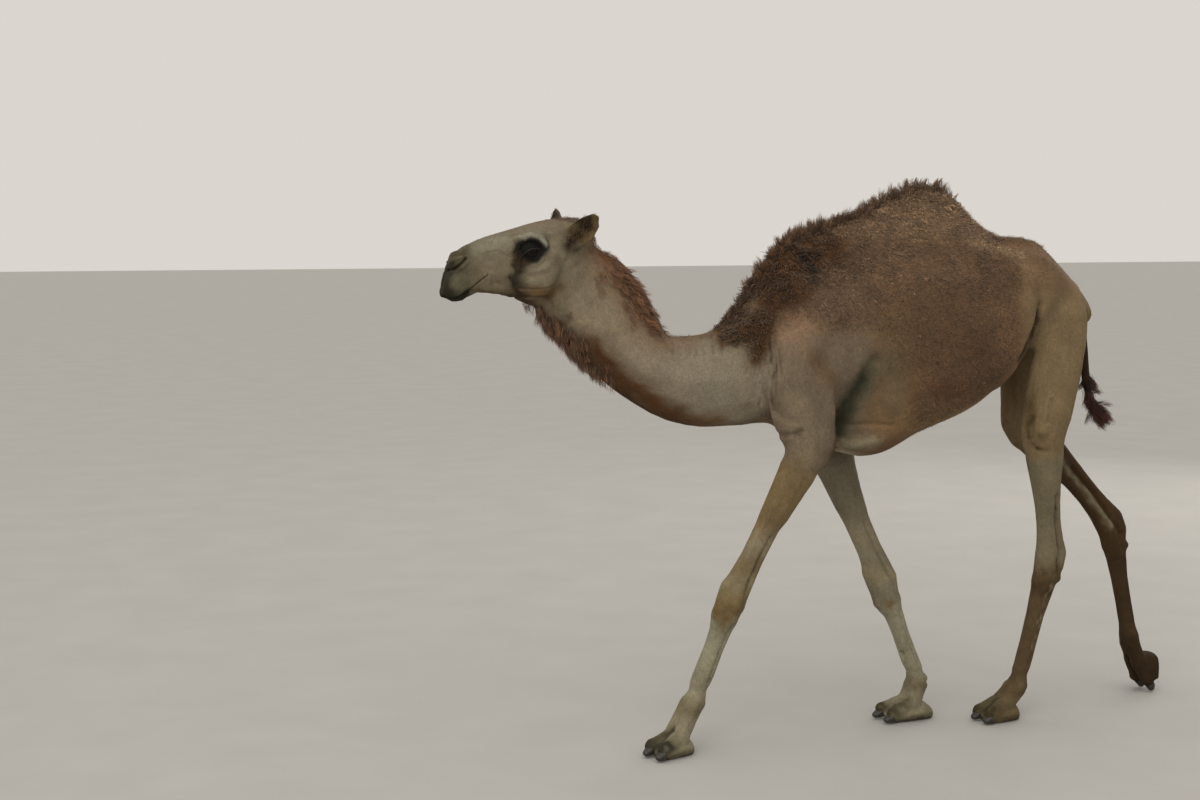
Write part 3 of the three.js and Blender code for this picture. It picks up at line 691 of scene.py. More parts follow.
# Toes: two long swellings with a deep cleft between them, and a groove above the pad's edge.
toes = []
for leg in LEGS:
    tips = [nail_place(leg, which) for which in ("outer", "inner")]
    low, high = corners_of(leg + "_foot")
    if leg == TOE_TIP_LEG:
        fetlock = np.array((low[0] + 0.30 * (high[0] - low[0]), (low[1] + high[1]) / 2, high[2] - 0.02))
        heads = [tip + np.array((-0.004, 0, 0.030)) for tip in tips]
        drop, reach = Vector((1, 0, 0)), np.array((-0.2, 0, 0))
    else:
        back = low[0] + 0.62 * (high[0] - low[0])
        fetlock = np.array((back, (low[1] + high[1]) / 2, low[2] + 0.10))
        heads = [tip + np.array((0.020, 0, 0.016)) for tip in tips]
        drop, reach = Vector((0, 0, -1)), np.array((0, 0, 0.16))
    between = (tips[0] + tips[1]) / 2

    def upon(place):
        return skin.aim(place + reach, drop)

    for head in heads:
        middle_toe = head * 0.55 + fetlock * 0.45
        toes.append((route([upon(head), upon(middle_toe)]), 18, 8))
        toes.append((route([upon(head)]), 15, 4))
    cleft = [upon(between * (1 - share) + fetlock * share) for share in (0.12, 0.30, 0.48, 0.64)]
    toes.append((route(cleft), 6.5, -19))
    if leg != TOE_TIP_LEG:
        toes.append((route([skin.aim((low[0] - 0.2, between[1], level), (1, 0, 0)) for level in (0.012, 0.030)]),
                     6, -12))
skin.press(toes)
skin.move(relax(skin.points, skin.links, 7, 7.0 * ((skin.points[:, 2] < 0.034) & (skin.points[:, 0] < 1.1))))

# The lines of the face, in millimetres along the head and up from its middle.
MOUTH = [(449, 34), (441, 22), (423, 15), (403, 14), (378, 17), (354, 23), (331, 28), (310, 31)]
NOSTRIL = [(410, 97), (392, 95), (374, 97), (358, 101), (345, 106)]
LOWER_RIM = [(408, 87), (386, 83), (362, 86), (345, 94)]
UPPER_RIM = [(404, 109), (386, 112), (366, 113), (350, 114)]
UPPER_FOLD = [(396, 123), (376, 127), (356, 124), (340, 114)]
LID_CREASE = [(196, 60), (184, 70), (166, 71), (150, 60), (140, 42)]
UNDER_CREASE = [(198, 24), (184, 14), (166, 11), (150, 18)]
BROW = [(190, 88), (168, 92), (146, 82), (130, 64), (121, 42)]
TEAR = [(192, 38), (204, 28), (213, 12), (221, -4)]

big = []
for side in SIDES:
    face = partial(head_line, side)
    big += [
        (face(*BROW), 9, 11), (face(215, 4, 190, -12, 150, -18, 110, -4), 14, 5), (face(150, -50), 36, 6),
        (face(98, 46), 20, -7), (face(300, 66, 262, 56), 24, -5), (face(395, 62, 415, 50), 18, 3),
        (face(170, -120, 122, -78, 84, -38), 14, -6), (face(262, -10, 300, -4), 16, -3),
        (face(420, -2, 396, -4), 12, 4), (face(356, -8, 330, -18), 12, -4), (face(396, 122, 368, 128), 14, 4),
        (face(424, 40, 404, 34), 10, 3),
    ]


def front(*levels):
    """A route down the middle of the lips, seen from ahead."""
    return route([skin.aim(in_head(600, up), -NOSEWARD) for up in levels])


big += [
    (front(48, 38), 11, 8), (front(76, 64), 12, -6), (front(8, -2), 10, 3),
]
skin.press(big)

lines = [head_line(side, *places) for side in SIDES
         for places in (MOUTH, NOSTRIL, UPPER_RIM, LID_CREASE, UNDER_CREASE, TEAR)]
eye_spots = [np.array([EYES[side] + np.array((0, side * 0.018, 0))] * 2) for side in SIDES]
cleft_front = front(94, 76, 58, 42)


def fine_parts(points):
    return within(points, lines, 0.009) | within(points, eye_spots, 0.022) | within(points, [cleft_front], 0.009)


refine(skin.mesh, fine_parts)
skin.read()
skin.move(relax(skin.points, skin.links, 2, 2.0 * fine_parts(skin.points)))


def gaze(side):
    return unit(np.array((0, side, 0)) * 0.94 + NOSEWARD * 0.22 + BROWWARD * 0.10)


def open_eye(points, side):
    """Lids round one eye: outside the opening the skin lies on the ball, inside it goes behind the ball."""
    centre = EYES[side]
    away = points - centre
    distance = np.linalg.norm(away, axis=1)
    close = np.nonzero(distance < 0.034)[0]
    way = away[close] / distance[close, None]
    ahead = way @ gaze(side)
    along = way @ NOSEWARD - 0.22
    up = way @ BROWWARD - 0.10
    half = np.clip(1 - (along / 0.90) ** 2, 0, 1)
    upper = 0.38 * half ** 0.8 + 0.08 * along
    lower = -0.42 * half ** 1.1 + 0.02
    inside = np.minimum(upper - up, up - lower)
    inside = np.where((np.abs(along) < 0.90) & (ahead > 0.2), inside, -1)
    lid = EYE_RADIUS + 0.0028
    sunk = EYE_RADIUS * 0.88
    opened = np.clip(inside / 0.10 + 0.5, 0, 1)
    opened = opened * opened * (3 - 2 * opened)
    target = lid + (sunk - lid) * opened
    hold = np.clip((0.95 - np.hypot(along / 1.15, up / 0.85)) / 0.35, 0, 1)
    hold = np.maximum(np.where(ahead > 0.2, hold, 0), opened)
    points[close] = centre + way * (distance[close] + (target - distance[close]) * hold)[:, None]
    return points


carved = skin.points.copy()
for side in SIDES:
    carved = open_eye(carved, side)
skin.move(carved)

details = [(cleft_front, 3.2, -5)]
for side in SIDES:
    face = partial(head_line, side)
    details += [
        (face(*MOUTH), 2.6, -7), (face(*[(a, b + 9) for a, b in MOUTH[:-2]]), 7, 2.4),
        (face(*[(a, b - 9) for a, b in MOUTH[:-3]]), 7, 2.4), (face(*NOSTRIL), 3.6, -12), (face(*LOWER_RIM), 4, 3.4),
        (face(*UPPER_RIM), 4.5, 4.4), (face(*UPPER_FOLD), 4, -3), (face(*LID_CREASE), 3.2, -5),
        (face(*UNDER_CREASE), 2.8, -2.6), (face(*TEAR), 4.0, -4), (face(204, 20, 190, 4, 168, -1, 146, 6), 4, 2),
        (face(238, -47, 206, -67, 163, -85, 141, -84), 4, -3.5), (face(250, -58, 214, -80, 172, -98), 5, 2),
        (face(257, -70, 214, -90, 172, -110), 4, -3.5), (face(262, 78, 240, 66, 226, 48), 3, -2),
        (face(280, 92, 256, 84, 238, 70), 3, -1.6), (face(300, 20, 296, 4, 284, -12), 4, -2.2),
        (face(318, 44, 322, 28, 318, 14), 3, -2.4), (face(300, 46, 306, 30, 302, 12), 3, -1.6),
        (face(200, 100, 186, 104, 168, 104), 3, -2), (face(352, 8, 330, -14, 290, -38, 264, -60), 4, -2.5),
    ]
skin.press(details)


def hollow_ear(points, normals, node, opening):
    """Gives an ear its full length again and sinks a bowl into the side that faces outwards."""
    low, high = corners_of(node)
    inside = np.all((points > low - 0.006) & (points < high + 0.006), axis=1)
    tipward = unit(FLOW[node])
    risen = np.clip((points[inside] - middle(node)) @ tipward + 0.040, 0, 1)
    crosswise = unit(np.cross(tipward, unit(opening)))
    aside = (points[inside] - middle(node)) @ crosswise
    points[inside] += (tipward * (risen * 0.22)[:, None]
                       + crosswise * (aside * np.clip(risen / 0.03, 0, 1) * 0.14)[:, None])
    inside = np.all((points > low - 0.006) & (points < high + 0.030), axis=1)
    away = points[inside] - middle(node)
    along = away @ tipward
    over = unit(opening)
    facing = normals[inside] @ over
    aside = away @ unit(np.cross(tipward, over))
    spread = np.percentile(np.abs(aside), 92)
    bowl = np.clip(1 - (aside / (spread * 0.85)) ** 2, 0, 1) * np.clip((along + 0.045) / 0.02, 0, 1)
    bowl *= np.clip((0.052 - along) / 0.03, 0, 1)
    sink = 0.014 * bowl * np.clip((facing - 0.1) / 0.4, 0, 1)
    points[inside] -= over * sink[:, None]
    return points


EAR_OPENING = {"ear_left": (-0.3, -0.9, -0.1), "ear_right": (-0.5, 0.8, 0.1)}
carved = skin.points.copy()
for node, opening in EAR_OPENING.items():
    carved = hollow_ear(carved, skin.normals, node, opening)
skin.move(carved)


# ---------------------------------------------------------------- markings, with painted shade and a painted highlight

def ripple(points, size, seed):
    """Soft noise between about -1 and 1, with lumps of one size in metres."""
    source = np.random.default_rng(seed)
    total = np.zeros(len(points))
    for _ in range(9):
        way = unit(source.normal(size=3)) * 2 * math.pi / size * source.uniform(0.6, 1.5)
        total += np.sin(points @ way + source.uniform(0, 6.3))
    return total / 3


def from_above(node, *shares):
    return route([skin.aim((share(node, along, 0)[0], 0, 2.5), (0, 0, -1)) for along in shares])


def from_below(node, *shares):
    return route([skin.aim((share(node, along, 0)[0], 0, 0), (0, 0, 1)) for along in shares])


def from_ahead(*levels):
    return route([skin.aim((-1.6, 0, level), (1, 0, 0)) for level in levels])


def from_behind(*levels):
    return route([skin.aim((-0.5, 0, level), (-1, 0, 0)) for level in levels])


def neck_levels(*shares):
    low, high = BOX["neck_upper"]
    return (low.z + up * (high.z - low.z) for up in shares)


THROAT = from_ahead(*neck_levels(0.36, 0.24, 0.12, 0.0))
NAPE_LINE = from_behind(*neck_levels(0.94, 0.84, 0.72, 0.60, 0.50, 0.42))


def from_below_at(along, side):
    """A short route under the jaw."""
    low = in_head(along, -60)
    return route([skin.aim((low[0], side * across, 1.0), (0, 0, 1)) for across in (0.022, 0.034, 0.044)])


def marks_and_painted_light_of():
    """Every marking, with painted shade in creases and hollows and a painted highlight among them: route, width in
    mm, colour and strength. A width is a whole number, as it seeds the ripple.
    """
    marks = []
    for side in SIDES:
        body, face = partial(body_line, side), partial(head_line, side)
        thigh = named(side, "hindleg", "thigh")
        shoulder = named(side, "foreleg", "shoulder")
        marks += [
            (body("chest", 0.25, 0.6, 0.45, 0.72, "barrel", -0.1, 0.76), 60, "765f4b", 0.8),
            (body("barrel", 0.0, 0.86, 0.5, 0.9), 90, "705842", 0.7),
            (body("barrel", 0.45, 0.62, 0.62, 0.5), 90, "5b4430", 0.6),
            (body("barrel", 0.85, 0.66, 0.9, 0.5), 60, "745840", 0.8),
            (body("barrel", 0.05, 0.1, -0.08, 0.08), 34, "857c66", 0.85),
            (body("barrel", 0.05, 0.6, 0.12, 0.46), 60, "625039", 0.6),
            (body("barrel", 0.1, 0.22, 0.45, 0.2, 0.8, 0.24), 70, "7a6143", 0.9),
            (body("barrel", 0.38, 0.34, 0.56, 0.33), 26, "6b4832", 0.6),
            (body("chest", -0.28, 0.65, -0.16, 0.7, 0.1, 0.83, 0.42, 0.93, 0.7, 0.95), 62, "4c3016", 0.95),
            (body("chest", -0.16, 0.69, 0.12, 0.72, 0.36, 0.76), 50, "4a2f16", 0.95),
            (body("chest", 0.02, 0.66, -0.04, 0.54, -0.07, 0.44), 22, "44301d", 0.9),
            (body("chest", 0.38, 0.95, 0.46, 0.9, 0.5, 0.82), 15, "1c120a", 0.95),
            (body("chest", 0.44, 0.94, 0.58, 0.92), 11, "22160c", 0.95),
            (body("chest", 0.12, 0.82, 0.24, 0.76), 24, "33220f", 0.6),
            (body("chest", -0.04, 0.5, -0.02, 0.36, -0.04, 0.24), 40, "776e5e", 0.9),
            (body("neck_lower", 0.62, 0.66, 0.85, 0.66, 1.0, 0.7), 36, "4a3118", 0.95),
            (body("chest", 0.02, 0.62, -0.05, 0.47), 27, "4a3118", 0.95),
            (body("chest", -0.16, 0.75, -0.12, 0.7, -0.22, 0.69, -0.13, 0.66, -0.06, 0.6), 42, "4f351c", 1.1),
            # Dark lines along the pressed wrinkles at the foot of the neck: painted shade in the creases.
            (body("neck_lower", 1.12, 0.62, 1.09, 0.42, 1.07, 0.24, 1.08, 0.15), 7, "3a2f24", 0.8),
            (body("neck_lower", 1.06, 0.56, 1.03, 0.4, 1.0, 0.18), 4, "4a3e30", 0.6),
            (body("neck_lower", 1.17, 0.56, 1.14, 0.4, 1.11, 0.2), 4, "4a3e30", 0.6),
            (body("neck_middle", -0.1, 0.72, 0.06, 0.58, 0.24, 0.42, 0.48, 0.28, "neck_lower", 0.0, 0.12), 40,
             "472c14", 1.0), (body("neck_lower", 0.0, 0.12, 0.3, 0.08, 0.6, 0.06), 26, "553b22", 0.8),
            (body("neck_lower", 0.2, 0.62, 0.5, 0.66, 0.85, 0.78), 20, "6a5c4b", 0.5),
            # The hollow behind the elbow is painted dark: painted shade in the hollow.
            (body("barrel", 0.0, 0.46, -0.06, 0.34, -0.14, 0.18), 38, "4c4736", 0.9),
            (body("barrel", -0.06, 0.4, -0.13, 0.29, -0.18, 0.16), 28, "2b2a1d", 0.95),
            (body("barrel", -0.15, 0.24, -0.17, 0.14), 34, "2f2d20", 0.8),
            (body("barrel", 0.1, 0.46, 0.12, 0.26), 44, "5d513d", 0.7),
            (body(shoulder, 0.5, 0.82, 0.6, 0.7), 34, "58442f", 0.75),
            (body(shoulder, 0.36, 0.28, 0.42, 0.14), 40, "746855", 0.6),
            (body(shoulder, 0.3, 0.55, 0.34, 0.4), 44, "6f6350", 0.7),
            (body(shoulder, 0.64, 0.2), 20, "45351f", 0.85),
            # Dark line along the pressed crease on the shoulder: painted shade in the crease.
            (body(shoulder, 0.16, 0.36, 0.26, 0.3, 0.38, 0.33), 8, "3c3226", 0.7),
            # Dark lines along the crease between flank and thigh and round the stifle: painted shade in the creases.
            (body("rump", 0.16, 0.5, thigh, 0.19, 0.8, 0.12, 0.7, 0.06, 0.62), 15, "2e2417", 0.95),
            (body(thigh, 0.2, 0.36, 0.2, 0.24), 24, "43351f", 0.8),
            (body(thigh, 0.21, 0.26, 0.19, 0.15, 0.27, 0.07), 11, "3a2d1b", 0.85),
            (body(thigh, 0.24, 0.17), 17, "55472e", 0.7), (body(thigh, 0.35, 0.38, 0.31, 0.26), 8, "7c6e54", 0.5),
            (body("rump", -0.42, 0.98, -0.2, 0.93, 0.05, 0.88), 27, "947a5e", 0.8),
            (body("rump", -0.1, 0.995, 0.1, 0.985, 0.45, 0.93), 22, "513b24", 0.8),
            (body("rump", 0.5, 0.85, 0.78, 0.66), 44, "7c6850", 0.7),
            (face(208, 56, 188, 62, 168, 62, 148, 54, 130, 40), 16, "0e0d09", 2.0),
            (face(206, 42, 186, 28, 164, 22, 142, 28), 16, "100f0a", 2.0),
            (face(190, 44, 150, 40), 21, "0c0b08", 2.0),
            (face(184, 92, 162, 94, 144, 84, 130, 66, 120, 44), 8, "8a8779", 0.85),
            (face(212, 54, 214, 40, 217, 26, 219, 13, 222, 2, 226, -9, 231, -20), 15, "22160a", 1.8),
            (face(232, -16, 236, -28, 239, -40, 238, -52, 234, -62, 232, -70), 18, "1c1207", 2.0),
            (from_below_at(234, side), 15, "22160a", 1.6), (face(214, 30, 206, 22, 192, 14), 9, "2a2014", 1.0),
            # Dark line along the pressed groove of the cheek: painted shade in the groove.
            (face(360, 6, 330, -16, 290, -40, 264, -62), 10, "4e3a1e", 0.9),
            (face(208, -74, 180, -88, 150, -100), 18, "5a4428", 0.85),
            # Dark line along the pressed groove below the cheek, and the nostril slit painted near black: painted
            # shade in the groove and the slit.
            (face(238, -47, 206, -67, 163, -85), 5, "57422c", 0.7), (face(*NOSTRIL), 7, "0e0c08", 1.0),
            (face(414, 92, 390, 84, 360, 88), 14, "2a2416", 0.9),
            # Dark line along the fold above the nostril: painted shade in the fold.
            (face(398, 122, 376, 126, 350, 120), 9, "28220f", 0.9),
            (face(396, 100, 412, 82, 426, 60, 432, 44), 30, "1b170d", 1.2),
            (face(440, 40, 436, 24), 20, "201c10", 1.1), (face(402, 62, 380, 56, 392, 38), 26, "565242", 0.9),
            # The split of the upper lip is painted dark: painted shade in the cleft.
            (cleft_front, 24, "282417", 0.9), (face(350, 74, 340, 50), 26, "544c3a", 0.6),
            # The mouth line is painted near black, with a dark band under the upper lip: painted shade in the mouth
            # and painted shadow under the lip.
            (face(*MOUTH), 4, "16120c", 1.0), (face(438, 18, 420, 10, 392, 8), 23, "1c190e", 1.2),
            (face(396, 126, 360, 128, 330, 124), 28, "453f2d", 0.95),
            (face(300, 118, 260, 112, 220, 104), 22, "7c7867", 0.6), (face(200, -34, 160, -36), 30, "8a806c", 0.65),
            (face(270, 30, 300, 36, 330, 20), 30, "615846", 0.7),
            (face(96, 20, 80, -30, 60, -80), 18, "7d7460", 0.5), (face(175, -116, 130, -96), 24, "3a2a1a", 0.7),
        ]
    # The inside of each ear is painted dark: partly the ear's own dark brown, partly painted shade in its hollow.
    for node in EAR_OPENING:
        tipward = unit(FLOW[node])
        inner = middle(node) + 0.012 * unit(EAR_OPENING[node])
        marks.append((np.array([inner - 0.055 * tipward, inner + 0.035 * tipward]), 27, "1c1208", 1.1))
    marks += [
        (from_above("head", 0.94, 0.86, 0.74, 0.6), 34, "665341", 0.8), (NAPE_LINE, 88, "5e3f27", 1.0),
        (from_above("neck_middle", 0.3, 0.6, 0.95), 34, "5f4d39", 0.85),
        (from_above("neck_lower", 0.0, 0.3, 0.55), 40, "5e4e3b", 0.8),
        (from_above("neck_lower", 0.66, 0.85, 1.05), 46, "4a3118", 0.95),
        (from_above("hump", 0.06, 0.18, 0.3), 50, "5c4026", 0.85),
        (from_above("hump", 0.42, 0.56, 0.7), 46, "684e34", 0.8),
        (from_below("jaw", 0.55, 0.75, 0.95), 38, "35281a", 0.9), (THROAT, 58, "2d1f11", 0.97),
        (from_below("neck_middle", 0.15, 0.45, 0.8), 58, "3c2814", 0.97),
        (from_below("neck_lower", -0.1, 0.15, 0.4), 46, "452d17", 0.95),
        (from_below("neck_lower", 0.4, 0.7, 1.0), 34, "5c452f", 0.8),
        (from_below("barrel", -0.2, 0.0), 50, "8c8470", 0.9),
    ]
    for leg in LEGS:
        line = lambda part, *places: leg_line(leg + part, *places)
        ring = lambda part, up: line(part, *((up, turn) for turn in range(0, 361, 45)))
        if leg.startswith("fore"):
            marks += [
                (line("_forearm", 0.9, 60, 0.6, 70), 50, "65543c", 0.6), (ring("_forearm", 0.45), 50, "746b57", 0.8),
                (ring("_forearm", 0.22), 36, "766c55", 0.8),
                (line("_cannon", 0.98, 30, 0.9, 60), 24, "5e4c2d", 0.95),
                (line("_forearm", 0.06, 60, 0.02, 30), 22, "5c4a2f", 0.85),
                (line("_cannon", 0.96, 300), 18, "5c4a2f", 0.8),
                # Dark line in the groove behind the forearm: painted shade in the groove.
                (line("_forearm", 0.46, 118, 0.34, 118, 0.18, 116), 6, "3a3020", 0.85),
                (ring("_cannon", 0.6), 50, "7d7a67", 0.7), (ring("_cannon", 0.3), 40, "7b7662", 0.7),
                (ring("_foot", 0.45), 24, "78715d", 0.6),
            ]
        elif leg == "hindleg_left":
            marks += [
                (ring("_shank", 0.06), 34, "493b26", 0.85), (ring("_cannon", 0.92), 34, "42331f", 0.85),
                (line("_cannon", 0.92, 100, 0.3, 106), 7, "7c7158", 0.7),
                # Dark line in the groove of the hind shank: painted shade in the groove.
                (line("_shank", 0.6, 127, 0.4, 126, 0.12, 122), 6, "2e2414", 0.95),
            ]
        else:
            # A paler strip down the inner side of the far hind shank: painted highlight.
            marks.append((line("_shank", 0.8, 292, 0.5, 290, 0.2, 290), 12, "6f6753", 0.75))
        for which in ("outer", "inner"):
            nail = nail_place(leg, which)
            dark = {"foreleg_left": "2c2a1e", "foreleg_right": "33301f", "hindleg_left": "332b1a"}.get(leg, "20180c")
            marks.append((np.array([nail + (0.002, 0, 0.012), nail + (0.024, 0, 0.022)]), 24, dark, 1.15))
            # On each foot but the one on its toe tips, a dark band behind the inner toe: painted shade in the cleft
            # between the toes.
            if which == "inner" and leg != TOE_TIP_LEG:
                marks.append((np.array([nail + (0.03, 0, 0.02), nail + (0.085, 0, 0.055)]), 17, "46412f", 0.9))
        if leg != TOE_TIP_LEG:
            marks.append((line("_foot", *((0.035, turn) for turn in range(0, 361, 20))), 9, "38342a", 0.85))
            # A dark line up the front cleft between the toes: painted shade in the cleft.
            marks.append((line("_foot", 0.2, 0, 0.34, 0, 0.46, 0), 9, "3c382a", 0.85))
            marks.append((ring("_foot", 0.80), 22, "5e5540" if leg.startswith("fore") else "473924", 0.8))
    return marks


# Colours of single parts. The far legs are coloured darker than the near ones, and the far hind leg much darker:
# partly painted shade on the far side, partly dirt.
PART_COLOUR_AND_SHADE = {
    "hindleg_left_cannon": "4b3d29", "hindleg_left_foot": "544832", "foreleg_right_forearm": "676150",
    "hindleg_right_thigh": "60503a", "hindleg_right_shank": "382815", "hindleg_right_cannon": "342615",
    "hindleg_right_foot": "2c1f0e",
}
NECK = ("neck_upper", "neck_middle", "neck_lower")
BODY = ("hump", "chest", "barrel", "rump", "shoulder", "thigh") + NECK


def kinds_of(*names):
    return [KEYS.index(name) for name in names]


def markings_and_painted_light(parts):
    """The colour of every point of the skin: the nodes' ground colours, then the markings with their painted shade
    and highlight, then a mottle.
    """
    points, kinds = skin.points, KIND[parts]
    ground = np.array([hex_colour(PART_COLOUR_AND_SHADE.get(node, COAT[KEYS[kind]][3])) for node, kind in zip(FLESH, KIND)])
    body = np.isin(kinds, kinds_of(*BODY))
    colour = relax(ground[parts], skin.links, 60, relax(np.where(body, 60.0, 14.0), skin.links, 10))
    wobble = points + 0.006 * np.stack([ripple(points, 0.05, seed) for seed in (1, 2, 3)], 1)
    for place, width, shade, strength in marks_and_painted_light_of():
        close, weight = near_weight(wobble, place, width / 1000)
        weight = (weight * strength * (1.1 + 0.2 * ripple(points[close], 0.03, width)))[:, None].clip(0, 1)
        colour[close] = colour[close] * (1 - weight) + hex_colour(shade) * weight
    mottle = 1 + 0.08 * ripple(points, 0.09, 4) + 0.05 * ripple(points, 0.02, 5)
    return colour * mottle[:, None] * GAIN


skin.tree = None
parts = owners(skin.points)
kinds = KIND[parts]
colour = markings_and_painted_light(parts)


# ---------------------------------------------------------------- what the coat needs to know

length = relax(table[kinds, 2], skin.links, 30)
curls = np.isin(kinds, kinds_of("hump", "chest", "barrel")) + 0.4 * np.isin(kinds, kinds_of("rump"))
curls = relax(curls.astype(float), skin.links, 70)
cape = np.zeros(len(skin.points))


def straighten(place, width, most=1.0, gain=1.2):
    """Takes the curls off along a route."""
    close, weight = near_weight(skin.points, place, width / 1000)
    curls[close] *= 1 - np.clip(gain * weight, 0, 1) * most


def thicken(place, width):
    """Adds to the long curls of the withers and the foot of the neck."""
    close, weight = near_weight(skin.points, place, width / 1000)
    cape[close] = np.maximum(cape[close], weight)


for side in SIDES:
    body = partial(body_line, side)
    straighten(body("chest", 0.3, 0.54, 0.24, 0.34), 90)
    straighten(body("barrel", -0.02, 0.48, -0.1, 0.14), 66)
    straighten(body("barrel", 0.14, 0.36, 0.1, 0.1), 60, 0.9)
    straighten(body("barrel", 0.2, 0.08, 0.55, 0.17, 0.75, 0.25, 0.94, 0.38), 46)
    straighten(body("rump", 0.75, 0.6, 0.4, 0.5), 80, 0.8)
    thicken(body("chest", -0.28, 0.65, 0.1, 0.8, 0.5, 0.9), 60)
    thicken(body("neck_lower", 0.66, 0.66, 0.85, 0.66, 1.0, 0.7), 30)
    thicken(body("chest", -0.16, 0.75, -0.11, 0.7, -0.22, 0.69, -0.13, 0.66, -0.05, 0.58), 46)
    thicken(body("chest", 0.02, 0.66, -0.05, 0.5), 26)
    thicken(body("chest", 0.3, 0.78), 40)
straighten(from_below("barrel", -0.1, 0.2, 0.5, 0.8, 1.0), 105, gain=1.3)
straighten(from_below("chest", 0.1, 0.5, 1.0), 70, gain=1.3)
thicken(from_above("hump", 0.02, 0.2, 0.4, 0.55, 0.7), 40)
thicken(from_above("chest", 0.0, 0.3, 0.7), 60)
thicken(from_above("neck_lower", 0.7, 0.85, 1.05), 40)
curls = np.maximum(curls, np.clip(1.5 * cape, 0, 1))
length = length + 12 * cape
flow = np.array([unit(FLOW[node]) for node in FLESH])[parts]
flow = relax(flow, skin.links, 26)
flow = unit(flow - skin.normals * np.sum(flow * skin.normals, axis=1, keepdims=True))

triangles = []
for face in skin.mesh.polygons:
    corners = tuple(face.vertices)
    for second in range(1, len(corners) - 1):
        triangles.append((corners[0], corners[second], corners[second + 1]))
TRIANGLES = np.array(triangles)
SURFACE = BVHTree.FromPolygons(skin.points.tolist(), triangles)


def blend_at(corners, faces, values, hits, spots):
    """Values at spots on triangles, weighed by how near each corner is."""
    a, b, c = (corners[faces[hits, k]] for k in range(3))
    normal = np.cross(b - a, c - a)
    size = np.maximum(np.sum(normal * normal, axis=1), 1e-18)
    u = np.sum(np.cross(c - b, spots - b) * normal, axis=1) / size
    v = np.sum(np.cross(a - c, spots - c) * normal, axis=1) / size
    weights = np.clip(np.stack([u, v, 1 - u - v], 1), 0, 1)
    weights /= weights.sum(1, keepdims=True)
    return sum(values[faces[hits, k]] * weights[:, k, None] for k in range(3))


def landed(tree, points):
    """The nearest spot on a surface for each point, and the face it is on."""
    spots, hits = [], []
    for p in points.tolist():
        spot, _, hit, _ = tree.find_nearest(p)
        spots.append(spot[:])
        hits.append(hit)
    return np.array(spots), np.array(hits)


KNOWN = np.column_stack([skin.normals, flow, colour, length, curls, cape])


def ask(points):
    """For any points: their place on the skin and everything known there."""
    spots, hits = landed(SURFACE, points)
    got = blend_at(skin.points, TRIANGLES, KNOWN, hits, spots)
    return {"at": spots, "normal": unit(got[:, :3]), "flow": unit(got[:, 3:6]), "colour": got[:, 6:9],
            "length": got[:, 9], "curls": got[:, 10], "cape": got[:, 11], "kind": kinds[TRIANGLES[hits, 0]]}


cage = voxels(skin.mesh.copy(), CAGE_NET)
holder = linked("cage", cage)
bpy.context.view_layer.objects.active = holder
holder.select_set(True)
bpy.ops.object.mode_set(mode="EDIT")
bpy.ops.mesh.select_all(action="SELECT")
bpy.ops.uv.smart_project(angle_limit=1.15, island_margin=0.004)
bpy.ops.object.mode_set(mode="OBJECT")
cage_points = points_of(cage)
cage_faces, cage_places = [], []
layer = cage.uv_layers.active.data
for face in cage.polygons:
    loops = list(face.loop_indices)
    for second in range(1, len(loops) - 1):
        corner = [loops[0], loops[second], loops[second + 1]]
        cage_faces.append([cage.loops[k].vertex_index for k in corner])
        cage_places.append([layer[k].uv[:] for k in corner])
cage_faces, cage_places = np.array(cage_faces), np.array(cage_places)
CAGE = BVHTree.FromPolygons(cage_points.tolist(), cage_faces.tolist())
bpy.data.objects.remove(holder)


def unwrapped(points):
    """Where points lie on the flat pattern of the cage."""
    spots, hits = landed(CAGE, points)
    order = np.arange(len(cage_faces) * 3).reshape(-1, 3)
    return blend_at(cage_points[cage_faces].reshape(-1, 3), order, cage_places.reshape(-1, 2), hits, spots)


# ---------------------------------------------------------------- tufts

def tuft_shape(rings):
    """A three-sided tuft of length 1 with rings across it: its corners, faces and flat pattern."""
    shape = bmesh.new()
    bmesh.ops.create_cone(shape, cap_ends=True, cap_tris=False, segments=3, radius1=1, radius2=0, depth=1)
    bmesh.ops.remove_doubles(shape, verts=shape.verts, dist=1e-5)
    bmesh.ops.translate(shape, verts=shape.verts, vec=(0, 0, 0.5))
    for height in rings:
        everything = shape.verts[:] + shape.edges[:] + shape.faces[:]
        bmesh.ops.bisect_plane(shape, geom=everything, dist=1e-6, plane_co=(0, 0, height), plane_no=(0, 0, 1))
    bmesh.ops.triangulate(shape, faces=shape.faces)
    bmesh.ops.recalc_face_normals(shape, faces=shape.faces)
    shape.verts.ensure_lookup_table()
    points = np.array([corner.co[:] for corner in shape.verts])
    faces = np.array([[corner.index for corner in face.verts] for face in shape.faces])
    shape.free()
    turn = np.arctan2(points[:, 1], points[:, 0]) / (2 * math.pi) % 1
    around = turn[faces]
    around = np.where((around.max(1, keepdims=True) - around) > 0.5, around + 1, around)
    tip = points[faces][:, :, 2] > 0.999
    around = np.where(tip, around.sum(1, keepdims=True) / 3, around)
    pattern = np.stack([around, points[faces][:, :, 2] + 0.02], 2)
    swell = np.maximum(1 - points[:, 2], 1e-6)
    spoke = np.where(points[:, 2:] < 0.999, points[:, :2] / swell[:, None], 0)
    return {"spoke": spoke, "t": points[:, 2], "faces": faces, "pattern": pattern.reshape(-1, 2) * 0.003}


SPIKE = tuft_shape([])
TUFT = tuft_shape([0.5])
CURL = tuft_shape([0.35, 0.7])
LOCK = tuft_shape([0.25, 0.5, 0.75])


